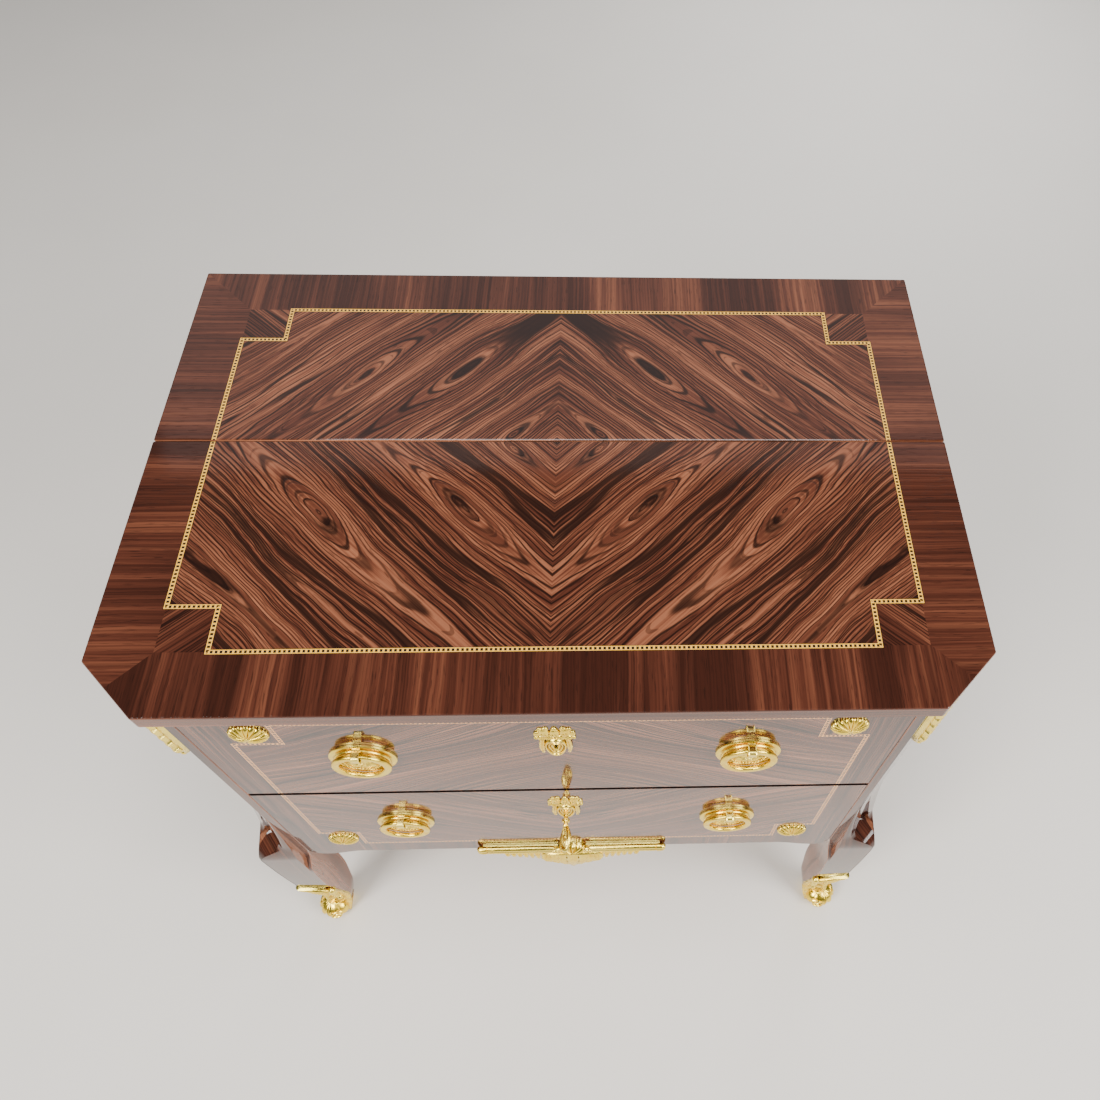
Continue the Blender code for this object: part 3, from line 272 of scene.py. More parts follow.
def polished(f, colour, line, fleck, gloss):
    """French polish over the veneer: a clear gloss that sinks a little into the pores and the lines."""
    x, y, z = f.rest_place()
    cloud = f.noise(x * 11.0, y * 11.0, z * 11.0, 3.0)
    rubbed = cloud.between(0.35, 0.70, 0.06, 0.085) + fleck * 0.12
    f.wear({"IOR": 1.46, "Coat Roughness": 0.04, "Coat IOR": 1.46, "Coat Weight": gloss})
    return f.feed(colour=colour, roughness=rubbed, height=(0.00003, 1.0 - 0.6 * fleck - 0.15 * line))


def notched_string(across, along, half_across, half_along, notch):
    """Distance from the middle line of a notched stringing, and metres along it."""
    out_across = across - half_across
    out_along = along - half_along
    in_across = across - (half_across - notch)
    in_along = along - (half_along - notch)
    step = in_across.least(in_along)
    edge = out_across.most(out_along)
    away = edge.most(step)
    upright = pick(step > edge, out_across > out_along, in_across < in_along)
    return away, upright


def string_colour(f, wood, away, run, box, ebony):
    """Lay a strip of boxwood with ebony squares into the wood."""
    off = abs(away)
    strip = off < STRING_WIDTH / 2
    beat = (run + 10.0) % STRING_PITCH
    square = (beat < 0.56 * STRING_PITCH) * (off < 0.30 * STRING_WIDTH)
    grain = f.noise(run * 160.0, off * 900.0, 0.5, 2.0)
    pale = f.mix(grain, box, [value * 0.72 for value in box[:3]] + [1.0])
    laid = f.mix(square, pale, ebony)
    seat = (off < STRING_WIDTH / 2 + 0.0005) - strip
    return f.mix(strip, f.mix(seat * 0.8, wood, (0.006, 0.003, 0.003, 1.0)), laid)


BOXWOOD = (0.82, 0.44, 0.070, 1.0)
PALE_BOXWOOD = (0.90, 0.42, 0.14, 1.0)
EBONY = (0.010, 0.006, 0.005, 1.0)


def leaf_rosewood():
    """The top: four matched leaves of veneer meeting in a diamond, stringing and cross-banding."""
    f = Finish("leaf_rosewood")
    x, y, z = f.rest_place()
    face = f.facing()[2] > 0.5
    across = abs(x)
    deep = abs(y - SEAM_Y)
    behind = y > SEAM_Y
    middle = (TOP_STRING_FRONT + TOP_STRING_BACK) / 2
    half_deep = (TOP_STRING_BACK - TOP_STRING_FRONT) / 2
    along = abs(y - middle)
    away, upright = notched_string(across, along, TOP_STRING_SIDE, half_deep, TOP_STRING_NOTCH)
    outside = away > 0.0
    # matched leaves: the grain runs in to the middle and away from the seam
    over_leaf = 0.69 * across + 0.72 * deep
    run_leaf = 0.69 * deep - 0.72 * across
    heart = veneer_eyes(f, run_leaf, over_leaf, behind)
    # banding: the grain runs square to the edge, mitred at the corners; the corner squares lie askew
    past_side = across - TOP_STRING_SIDE
    past_end = along - half_deep
    corner = (past_side.most(past_end) < 0.0) * outside
    at_side = past_side > past_end
    run_band = pick(corner, pick(at_side, y, x), 0.75 * across + 0.66 * along)
    over_band = pick(corner, pick(at_side, x, y + 3.0), 0.66 * across - 0.75 * along)
    run = pick(outside, run_leaf, run_band)
    over = pick(outside, heart, over_band)
    run = pick(face, x + y, run)
    over = pick(face, z * 1.5 + y * 0.2, over)
    seed = 2.6 + outside * 5.0 + corner * 4.0 + behind * 0.6
    banded = outside * (1.0 - corner)
    figure = rosewood_figure(f, run, over, seed, pick(outside, 0.10, 0.0), pick(outside, 44.0, 21.0))
    # hairline streaks run straight through the eyes of the matched leaves
    broad, streak, line, pores = figure
    hair = f.noise(over_leaf * 620.0, run_leaf * 7.0, 9.1, 1.0).between(0.30, 0.70) - 0.5
    figure = broad, streak + 0.26 * hair * (1.0 - outside) * face, line, pores
    # the strips of banding differ a little in tone
    side_tone = at_side * (1.2 * (x > 0.0) - 0.5)
    end_tone = (1.0 - at_side) * (1.3 * (y > middle) - 1.0)
    band_warm = corner * 0.9 - 1.45 + side_tone + end_tone
    # the edge faces of the leaves get 3.4 more warmth: a painted reflection of the bright room on them
    warm = pick(outside, 0.95 - 0.85 * behind, band_warm) + (1.0 - face) * 3.4
    gnarl = f.noise(over_leaf * 60.0, run_leaf * 16.0, 5.2, 2.0).between(0.44, 0.58)
    core = heart.between(0.0100, 0.0035) * gnarl * (1.0 - outside) * 0.92
    wood, line, fleck = rosewood_colour(f, figure, warm, banded, core)
    strung = string_colour(f, wood, away, pick(upright, x, y), BOXWOOD, EBONY)
    top = f.mix(face, wood, strung)
    return polished(f, top, line, fleck, 0.0)


def front_rosewood():
    """The drawer fronts: one diamond of matched veneer over both, with a pale stringing and with the edge
    faces painted near black as the shade in the gaps round the drawers.
    """
    f = Finish("front_rosewood")
    x, y, z = f.rest_place()
    across = abs(x)
    deep = abs(z - DRAWER_SPLIT_Z)
    middle = (FRONT_STRING_LOW + FRONT_STRING_HIGH) / 2
    half_high = (FRONT_STRING_HIGH - FRONT_STRING_LOW) / 2
    along = abs(z - middle)
    away, upright = notched_string(across, along, FRONT_STRING_SIDE, half_high, FRONT_STRING_NOTCH)
    facing = f.facing()
    face = facing[1] < -0.5
    rim = abs(facing[2]).most(abs(facing[0])) > 0.5
    outside = away > 0.0
    over = pick(outside, 0.48 * across + 0.86 * deep, x)
    run = pick(outside, 0.48 * deep - 0.86 * across, z)
    below = z < DRAWER_SPLIT_Z
    seed = 14.2 + outside * 6.0 + below * deep.between(0.02, 0.14) * 0.5
    figure = rosewood_figure(f, run, over, seed, pick(outside, 0.9, 0.15), 22.0)
    wood, line, fleck = rosewood_colour(f, figure, pick(outside, 1.5, 0.6))
    strung = string_colour(f, wood, away, pick(upright, x, z), PALE_BOXWOOD, EBONY)
    # the top, bottom and side faces of the fronts are painted near black: painted shade in the gaps between
    # the drawers and beside the stiles
    gap_shaded = f.mix(rim, f.mix(face, wood, strung), (0.010, 0.005, 0.004, 1.0))
    return polished(f, gap_shaded, line, fleck, 0.15)


def straight_rosewood(name, seed, grain, warm, inward_lit_warm):
    """Plain rosewood whose grain runs along one axis; faces turned to the middle of the desk take a warmth of
    their own and calmer lines, which on the legs is painted light that makes them paler.
    """
    f = Finish(name)
    place = f.rest_place()
    run = place[grain]
    first, second = [place[axis] for axis in range(3) if axis != grain]
    inward = place[0] * f.facing()[0] < -0.12
    figure = rosewood_figure(f, run, first + 0.73 * second, seed, 0.35)
    # faces turned to the middle get their own warmth: on the legs this paints them paler, as lit faces
    wood, line, fleck = rosewood_colour(f, figure, pick(inward, warm, inward_lit_warm), pick(inward, 0.4, 1.1))
    return polished(f, wood, line, fleck, 0.20)


def side_rosewood():
    """The side panels: matched veneer meeting in a diamond."""
    f = Finish("side_rosewood")
    x, y, z = f.rest_place()
    across = abs(y - CASE_MIDDLE_Y)
    deep = abs(z - DRAWER_SPLIT_Z)
    figure = rosewood_figure(f, 0.55 * deep - 0.82 * across, 0.55 * across + 0.82 * deep, 33.0, 0.9)
    wood, line, fleck = rosewood_colour(f, figure, 0.4)
    return polished(f, wood, line, fleck, 0.20)


# Front edges of the carcase ahead of this are stained like the veneer
STAINED_FRONT_Y = -0.15


def carcase_wood(name, seed, grain, pale, deep_tone):
    """Planed and waxed carcase timber: soft growth bands, short flecks and a little handling grime."""
    f = Finish(name)
    place = f.rest_place()
    run = place[grain]
    first, second = [place[axis] for axis in range(3) if axis != grain]
    over = first + 0.61 * second
    drift = f.noise(over * 9.0, run * 1.8, seed, 1.0) - 0.5
    flow = over + 0.05 * drift
    rings = f.noise(flow * 110.0, run * 1.5, seed + 2.0, 2.0)
    rays = f.noise(over * 900.0, run * 130.0, seed + 5.0, 0.0).between(0.30, 0.22)
    grime = f.noise(place[0] * 6.0, place[1] * 6.0, place[2] * 6.0 + seed, 3.0).between(0.45, 0.75)
    wood = f.mix(rings.between(0.35, 0.65), pale, deep_tone)
    wood = f.mix(rays * 0.5, wood, [value * 0.5 for value in deep_tone[:3]] + [1.0])
    wood = f.mix(grime * 0.35, wood, [value * 0.45 for value in deep_tone[:3]] + [1.0])
    front_edge = (f.facing()[1] < -0.5) * (place[1] < STAINED_FRONT_Y)
    wood = f.mix(front_edge, wood, f.mix(rings, (0.060, 0.019, 0.010, 1.0), (0.115, 0.038, 0.020, 1.0)))
    f.wear({"IOR": 1.46})
    rough = 0.46 + 0.16 * rings
    return f.feed(colour=wood, roughness=rough, height=(0.00012, rings - 0.8 * rays))


def gilt_bronze():
    """Cast, chased and burnished gilt bronze, browner where polish never reaches, with a painted highlight of
    pale yellow on its raised parts.
    """
    f = Finish("gilt_bronze")
    x, y, z = f.rest_place()
    hollow = f.node("ShaderNodeNewGeometry", out=7)
    patch = f.noise(x * 110.0, y * 110.0, z * 110.0, 3.0)
    stipple = f.noise(x * 1100.0, y * 1100.0, z * 1100.0, 1.0)
    deep = hollow.between(0.490, 0.435)
    bright = f.mix(patch.between(0.35, 0.7), (0.94, 0.70, 0.085, 1.0), (0.87, 0.59, 0.055, 1.0))
    # raised parts blend towards pale yellow: a painted highlight
    wear_and_highlight = f.mix(hollow.between(0.52, 0.60, 0.0, 0.55), bright, (1.0, 0.86, 0.26, 1.0))
    colour = f.mix(deep * 0.9, wear_and_highlight, (0.16, 0.085, 0.010, 1.0))
    rough = 0.20 + 0.16 * patch.between(0.35, 0.75) + 0.30 * deep
    f.wear({"Metallic": 1.0})
    return f.feed(colour=colour, roughness=rough, height=(0.00022, 0.45 * patch + 0.40 * stipple))


def lock_iron():
    """Filed and oiled lock iron with a little rust in the hollows."""
    f = Finish("lock_iron")
    x, y, z = f.rest_place()
    file_marks = f.noise(x * 120.0, y * 1400.0, z * 1400.0, 1.0)
    rust = f.noise(x * 60.0, y * 60.0, z * 60.0, 4.0).between(0.56, 0.70)
    colour = f.mix(rust, (0.19, 0.18, 0.17, 1.0), (0.13, 0.05, 0.018, 1.0))
    f.feed(colour=colour, roughness=0.34 + 0.35 * rust, metallic=1.0 - 0.8 * rust)
    return f.feed(height=(0.00008, file_marks))


def writing_leather(node):
    """Green writing leather: fine grain, rubbed edges and a gilt tooled border."""
    f = Finish("writing_leather")
    low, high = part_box(node)
    x, y, z = f.rest_place()
    in_x = (high.x - low.x) / 2 - abs(x - (low.x + high.x) / 2)
    in_y = (high.y - low.y) / 2 - abs(y - (low.y + high.y) / 2)
    inset = in_x.least(in_y)
    run = pick(in_x < in_y, x, y)
    rest = f.node("ShaderNodeTexCoord", out=3)
    grain = f.node("ShaderNodeTexVoronoi", None, {"Vector": rest, "Scale": 620.0})
    cloud = f.noise(x * 14.0, y * 14.0, 1.0, 4.0)
    hide = f.mix(cloud.between(0.35, 0.70), (0.020, 0.060, 0.032, 1.0), (0.036, 0.085, 0.045, 1.0))
    hide = f.mix(inset.between(0.010, 0.0, 0.0, 0.5), hide, (0.075, 0.085, 0.040, 1.0))
    fillet = (abs(inset - 0.0120) < 0.0007).most(abs(inset - 0.0200) < 0.0004)
    bud = abs((run + 5.0) % 0.0085 - 0.00425) * 1.2 + abs(inset - 0.0160)
    tooled = fillet.most(bud < 0.0026)
    wear_and_highlight = tooled * cloud.between(0.32, 0.50, 0.45, 1.0)
    f.wear({"IOR": 1.45})
    f.feed(colour=f.mix(wear_and_highlight, hide, (0.80, 0.52, 0.16, 1.0)), metallic=wear_and_highlight * 0.9)
    return f.feed(roughness=0.44 - 0.14 * wear_and_highlight + 0.1 * cloud, height=(0.0002, grain * 0.5 - 0.8 * tooled))


LEAF_ROSEWOOD = leaf_rosewood().material
FRONT_ROSEWOOD = front_rosewood().material
SIDE_ROSEWOOD = side_rosewood().material
# the legs: faces turned to the middle painted paler as lit, the outer faces a darker tone, which also paints
# the shade in the flutes
LEG_ROSEWOOD = straight_rosewood("leg_rosewood", 41.0, 2, -1.1, 3.0).material
BED_ROSEWOOD = straight_rosewood("bed_rosewood", 47.0, 0, 0.4, 0.4).material
BEECH_DEEP = carcase_wood("beech_runners", 3.0, 1, (0.50, 0.30, 0.15, 1.0), (0.36, 0.19, 0.085, 1.0)).material
BEECH_WIDE = carcase_wood("beech_boards", 8.0, 0, (0.48, 0.29, 0.145, 1.0), (0.33, 0.17, 0.075, 1.0)).material
BACK_PALE = (0.165, 0.082, 0.038, 1.0)
BACK_DEEP = (0.12, 0.056, 0.025, 1.0)
BACK_WOOD = carcase_wood("back_boards", 21.0, 2, BACK_PALE, BACK_DEEP).material
GILT = gilt_bronze().material
IRON = lock_iron().material
LEATHER = writing_leather("bed_leather").material


# Cast pieces
class Casting:
    """A piece put together from lofted bodies in a plane of its own: right, up and out of the plane."""

    def __init__(self, origin, right=(1.0, 0.0, 0.0), up=(0.0, 0.0, 1.0)):
        self.mesh = bmesh.new()
        self.origin = Vector(origin)
        self.right = Vector(right).normalized()
        self.up = Vector(up).normalized()
        self.out = self.right.cross(self.up)

    def spot(self, point):
        right, up, out = point
        return self.origin + self.right * right + self.up * up + self.out * out

    def body(self, rings, ring_round=False):
        """A skin over rings of points; the two ends are capped, or joined where ring_round is set."""
        rows = [[self.mesh.verts.new(self.spot(point)) for point in ring] for ring in rings]
        count = len(rows[0])
        pairs = list(zip(rows, rows[1:]))
        if ring_round:
            pairs.append((rows[-1], rows[0]))
        for low, high in pairs:
            for index in range(count):
                after = (index + 1) % count
                self.mesh.faces.new((low[index], low[after], high[after], high[index]))
        if not ring_round:
            self.mesh.faces.new(rows[0][::-1])
            self.mesh.faces.new(rows[-1])

    def dome(self, centre, reach, height, rings=8, count=48, base=0.0):
        """A raised boss: reach(angle) is its outline, height(share, angle) its rise, share 1 at the edge."""
        rows = []
        for index in range(rings + 1):
            share = 1.0 if index == 0 else 1.0 - (index - 1) / rings
            row = []
            for step in range(count):
                angle = 2 * math.pi * step / count
                far = reach(angle) * share
                rise = 0.0 if index == 0 else height(share, angle)
                beside = centre[0] + far * math.cos(angle)
                above = centre[1] + far * math.sin(angle)
                row.append((beside, above, base + rise))
            rows.append(row)
        self.body(rows)

    def bead(self, centre, radius, tall=1.0, count=14):
        """A small ball."""
        rows = []
        for index in range(1, 8):
            turn = math.pi * index / 8
            far = radius * math.sin(turn)
            level = -radius * math.cos(turn) * tall
            row = []
            for step in range(count):
                angle = 2 * math.pi * step / count
                beside = centre[0] + far * math.cos(angle)
                above = centre[1] + far * math.sin(angle)
                row.append((beside, above, centre[2] + level))
            rows.append(row)
        self.body(rows)

    def leaf(self, path, widths, rise, ribs=0, sink=0.0):
        """A chased leaf along a path: domed across, with a midrib groove and notched edges."""
        rows = []
        count = len(path)
        for index, (point, width) in enumerate(zip(path, widths)):
            before = Vector(path[max(index - 1, 0)])
            after = Vector(path[min(index + 1, count - 1)])
            ahead = (after - before).normalized()
            beside = Vector((-ahead.y, ahead.x, 0.0))
            if beside.length < 0.001:
                beside = Vector((1.0, 0.0, 0.0))
            beside.normalize()
            notch = 1.0
            if ribs:
                notch = 0.78 + 0.22 * abs(math.cos(math.pi * ribs * index / (count - 1)))
            row = []
            for step in range(9):
                side = -1.0 + step / 4
                dome = (1.0 - 0.75 * side * side) - 0.42 * math.exp(-(side / 0.2) ** 2)
                lift = rise * dome * (0.55 + 0.45 * notch)
                spot = Vector(point) + beside * (side * width * notch)
                row.append((spot.x, spot.y, spot.z + lift))
            for side in (1.0, -1.0):
                spot = Vector(point) + beside * (side * width * notch * 0.9)
                row.append((spot.x, spot.y, spot.z - sink))
            rows.append(row)
        self.body(rows)

    def cord(self, path, radii, count=10, ring_round=False, squash=1.0):
        """A round rod along a path."""
        rows = []
        total = len(path)
        normal = Vector((0.0, 0.0, 1.0))
        for index, point in enumerate(path):
            before = Vector(path[index - 1] if index or ring_round else path[0])
            after = Vector(path[(index + 1) % total] if index < total - 1 or ring_round else path[-1])
            ahead = (after - before).normalized()
            if abs(ahead.dot(normal)) > 0.95:
                normal = Vector((0.0, 1.0, 0.0)) if abs(ahead.y) < 0.9 else Vector((1.0, 0.0, 0.0))
            beside = ahead.cross(normal).normalized()
            above = beside.cross(ahead).normalized()
            normal = above
            radius = radii[index] if isinstance(radii, (list, tuple)) else radii
            row = []
            for step in range(count):
                angle = 2 * math.pi * step / count
                spot = Vector(point) + beside * (radius * math.cos(angle))
                spot += above * (radius * squash * math.sin(angle))
                row.append(tuple(spot))
            rows.append(row)
        self.body(rows, ring_round)

    def turned(self, centre, profile, count=56):
        """A piece turned about the way out of the plane: profile is (radius, out), outer foot first."""
        rows = []
        for radius, out in profile:
            row = []
            for step in range(count):
                angle = 2 * math.pi * step / count
                row.append((centre[0] + radius * math.cos(angle), centre[1] + radius * math.sin(angle), out))
            rows.append(row)
        self.body(rows)

    def done(self, name, body, material, slot, *nodes, sharp=38.0):
        """The finished piece: it rides on its body and stands for its nodes."""
        bmesh.ops.recalc_face_normals(self.mesh, faces=self.mesh.faces)
        mesh = bpy.data.meshes.new(name)
        self.mesh.to_mesh(mesh)
        self.mesh.free()
        mesh.shade_smooth()
        mesh.set_sharp_from_angle(angle=math.radians(sharp))
        piece = bpy.data.objects.new(name, mesh)
        bpy.context.scene.collection.objects.link(piece)
        mesh.materials.append(material)
        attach(piece, body)
        if nodes:
            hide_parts(*nodes)
        return piece


def on_front(node):
    """Middle, half sizes and relief of a mount on a drawer front, with the point on the wood behind it."""
    low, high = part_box(node)
    middle = (low + high) / 2
    return Vector((middle.x, high.y, middle.z)), (high.x - low.x) / 2, (high.z - low.z) / 2, high.y - low.y


def shell_rosette(name, body, node):
    """A round rosette in a corner of the stringing: ribs run from a button to a scalloped rim."""
    place, wide, high, relief = on_front(node)
    cast = Casting(place)
    ribs = 18
    rim_rise = 0.0013

    def rib_at(angle):
        return abs(math.cos(ribs * angle / 2)) ** 0.7

    def rim(angle):
        return wide * (0.92 + 0.08 * rib_at(angle))

    def swell(share, angle):
        crown = max(0.0, 1 - share ** 2.4) ** 0.62
        groove = 1 - 0.34 * (1 - rib_at(angle)) * min(1.0, 2.4 * share)
        return rim_rise + (relief - rim_rise - 0.0008) * crown * groove

    def button(share, angle):
        return relief * (0.78 + 0.22 * math.sqrt(1 - share * share))

    cast.dome((0.0, 0.0), rim, swell, rings=12, count=216)
    cast.dome((0.0, 0.0), lambda angle: 0.15 * wide, button, 5, 20)
    cast.done(name, body, GILT, "gilt", node)


def keyhole_outline(radius, slot, drop, count):
    """The round of a keyhole with its slot, as reach by angle."""
    reach = []
    for step in range(count):
        angle = 2 * math.pi * step / count
        ray = (math.cos(angle), math.sin(angle))
        far = radius
        if ray[1] < 0.0:
            by_side = slot / max(abs(ray[0]), 1e-6)
            by_foot = drop / max(-ray[1], 1e-6)
            far = max(radius, min(by_side, by_foot))
        reach.append(far)
    return reach


def bow_escutcheon(name, body, node, keyhole_z):
    """A keyhole plate under a ribbon bow, between two drooping leaves."""
    low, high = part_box(node)
    cast = Casting((0.0, high.y, keyhole_z))
    deep = high.y - low.y
    half = (high.x - low.x) / 2
    rise = high.z - keyhole_z
    drop = keyhole_z - low.z
    count = 72
    inner = keyhole_outline(0.0031, 0.0016, 0.0081, count)

    def ringed(share, out):
        row = []
        for step in range(count):
            angle = 2 * math.pi * step / count
            tall = drop if math.sin(angle) < 0 else 0.38 * rise
            ray = (math.cos(angle), math.sin(angle))
            oval = 1.0 / math.sqrt((ray[0] / (0.54 * half)) ** 2 + (ray[1] / tall) ** 2)
            far = inner[step] + (oval - inner[step]) * share
            row.append((far * ray[0], far * ray[1], out * deep))
        return row

    steps = [(0.0, 0.0), (0.0, 0.62), (0.06, 0.80), (0.16, 0.80), (0.22, 0.50), (0.34, 0.50), (0.40, 0.84)]
    steps += [(0.50, 0.84), (0.56, 0.50), (0.68, 0.50), (0.75, 0.96)]
    steps += [(0.86, 1.0), (0.95, 0.74), (1.0, 0.4), (1.0, 0.0)]
    cast.body([ringed(share, out) for share, out in steps], ring_round=True)

    def knob(across, up, wide, tall, out, folds):
        """A rounded lobe of ribbon with soft folds."""

        def reach(angle):
            return wide * tall / math.hypot(tall * math.cos(angle), wide * math.sin(angle))

        def rise_at(share, angle):
            fold = 1.0 - 0.20 * (1 - share) * (1 + math.cos(folds * angle)) * min(1.0, 3 * share)
            return out * deep * (0.22 + 0.78 * math.sqrt(1 - share * share)) * fold

        cast.dome((across, up), reach, rise_at, 7, 36)

    knob(0.0, 0.66 * rise, 0.25 * half, 0.22 * rise, 0.86, 5)
    knob(0.0, 0.88 * rise, 0.15 * half, 0.10 * rise, 0.52, 3)
    for side in (-1, 1):
        knob(side * 0.50 * half, 0.68 * rise, 0.27 * half, 0.23 * rise, 0.78, 5)
        knob(side * 0.42 * half, 0.90 * rise, 0.16 * half, 0.085 * rise, 0.46, 3)
        knob(side * 0.68 * half, 0.87 * rise, 0.13 * half, 0.085 * rise, 0.46, 3)
        knob(side * 0.84 * half, 0.62 * rise, 0.15 * half, 0.13 * rise, 0.60, 4)
        knob(side * 0.89 * half, 0.41 * rise, 0.11 * half, 0.08 * rise, 0.60, 3)
        knob(side * 0.28 * half, 0.44 * rise, 0.22 * half, 0.12 * rise, 0.90, 4)
        knob(side * 0.62 * half, 0.42 * rise, 0.22 * half, 0.12 * rise, 0.86, 4)
        tail = []
        for step in range(9):
            part = step / 8
            sway = 0.60 + 0.14 * math.sin(math.pi * 0.62 * part) - 0.10 * part
            lift = deep * (0.25 + 0.35 * math.sin(math.pi * part))
            tail.append((side * half * sway, rise * (0.34 - 0.78 * part), lift))
        widths = [half * 0.145 * math.sin(math.pi * (0.22 + 0.66 * step / 8)) ** 0.5 for step in range(9)]
        cast.leaf(tail, widths, 0.55 * deep, 4, sink=0.25 * deep)
    cast.done(name, body, GILT, "gilt", node)


RING_RADIUS = 0.0248


def ring_middle(node):
    """Middle of a hanging ring, its outer radius and its half thickness."""
    low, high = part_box(node)
    return (low + high) / 2, (high.x - low.x) / 2, (high.y - low.y) / 2


def pull_plate(name, body, node, ring_node):
    """The back of a pull: a flange, a raised rim, a boss with a flower, and a strap for the ring."""
    place = ring_middle(ring_node)[0]
    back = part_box(node)[1].y
    cast = Casting((place.x, back, place.z))
    wide = (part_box(node)[1].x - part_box(node)[0].x) / 2
    profile = [(wide, 0.0), (wide, 0.0020), (wide - 0.0005, 0.0026), (wide - 0.0014, 0.0029),
               (0.0290, 0.0034), (0.0279, 0.0035), (0.0273, 0.0039), (0.0271, 0.0048),
               (0.0265, 0.0055), (0.0254, 0.0058),
               (0.0244, 0.0055), (0.0236, 0.0047), (0.0232, 0.0040), (0.0226, 0.0036), (0.0212, 0.0036),
               (0.0205, 0.0042), (0.0200, 0.0054), (0.0192, 0.0060), (0.0180, 0.0060), (0.0174, 0.0055),
               (0.0150, 0.0058), (0.0110, 0.0066), (0.0060, 0.0072), (0.0010, 0.0073)]
    cast.turned((0.0, 0.0), profile, 72)
    for petal in range(10):
        angle = 2 * math.pi * petal / 10
        ray = (math.cos(angle), math.sin(angle))
        steps = ((0.0020, 0.0069), (0.0050, 0.0071), (0.0085, 0.0068), (0.0120, 0.0062), (0.0152, 0.0056))
        path = [(ray[0] * far, ray[1] * far, out) for far, out in steps]
        cast.leaf(path, [0.0007, 0.0020, 0.0032, 0.0029, 0.0008], 0.0015, sink=0.001)
    for ring, studs, size in ((0.0178, 34, 0.0011), (0.0034, 7, 0.0011)):
        for stud in range(studs):
            angle = 2 * math.pi * (stud + 0.5) / studs
            out = 0.0060 if ring > 0.01 else 0.0080
            cast.bead((ring * math.cos(angle), ring * math.sin(angle), out), size, 0.8, 8)
    cast.bead((0.0, 0.0, 0.0080), 0.0022, 0.7, 12)
    # the strap: a flat band of metal bent from the rim over the ring and down its front
    out = back - place.y
    centre_up = RING_RADIUS
    rows = []
    for step in range(28):
        angle = 2 * math.pi * step / 28
        square = (abs(math.cos(angle)) ** 4 + abs(math.sin(angle)) ** 4) ** -0.25
        row = []
        for side, grow in ((-1, 0.0), (1, 0.0), (1, 0.0009), (-1, 0.0009)):
            tall = (0.0044 + grow) * square
            thick = (0.0044 + grow) * square
            row.append((side * 0.0040, centre_up + tall * math.cos(angle), out + thick * math.sin(angle)))
        rows.append(row)
    cast.body(rows, ring_round=True)
    for side in (-1, 1):
        band = []
        for step in range(13):
            angle = math.radians(-30 + 240 * step / 12)
            square = (abs(math.cos(angle)) ** 4 + abs(math.sin(angle)) ** 4) ** -0.25
            tall = 0.0053 * square * math.cos(angle)
            band.append((side * 0.0036, centre_up + tall, out + 0.0053 * square * math.sin(angle)))
        cast.cord(band, 0.0006, 8)
    foot = []
    for level in (0.0030, out - 0.0048):
        foot.append([(-0.0037, centre_up - 0.0034, level), (0.0037, centre_up - 0.0034, level),
                     (0.0037, centre_up + 0.0042, level), (-0.0037, centre_up + 0.0042, level)])
    cast.body(foot)
    cast.done(name, body, GILT, "gilt", node)


def pull_ring(name, body, node):
    """The hanging ring: a broad flat band with softly rounded edges and two fine turned lines."""
    place, outer, half_thick = ring_middle(node)
    cast = Casting(place)
    wire = outer - RING_RADIUS
    rows = []
    section = 20
    for step in range(84):
        angle = 2 * math.pi * step / 84
        row = []
        for part in range(section):
            turn = 2 * math.pi * part / section
            square = (abs(math.cos(turn)) ** 3.2 + abs(math.sin(turn)) ** 3.2) ** (-1 / 3.2)
            far = RING_RADIUS + wire * square * math.cos(turn)
            out = half_thick * square * math.sin(turn)
            if abs(math.cos(turn)) < 0.2:
                out *= 0.93
            row.append((far * math.cos(angle), far * math.sin(angle), out))
        rows.append(row)
    cast.body(rows, ring_round=True)
    cast.done(name, body, GILT, "gilt", node)


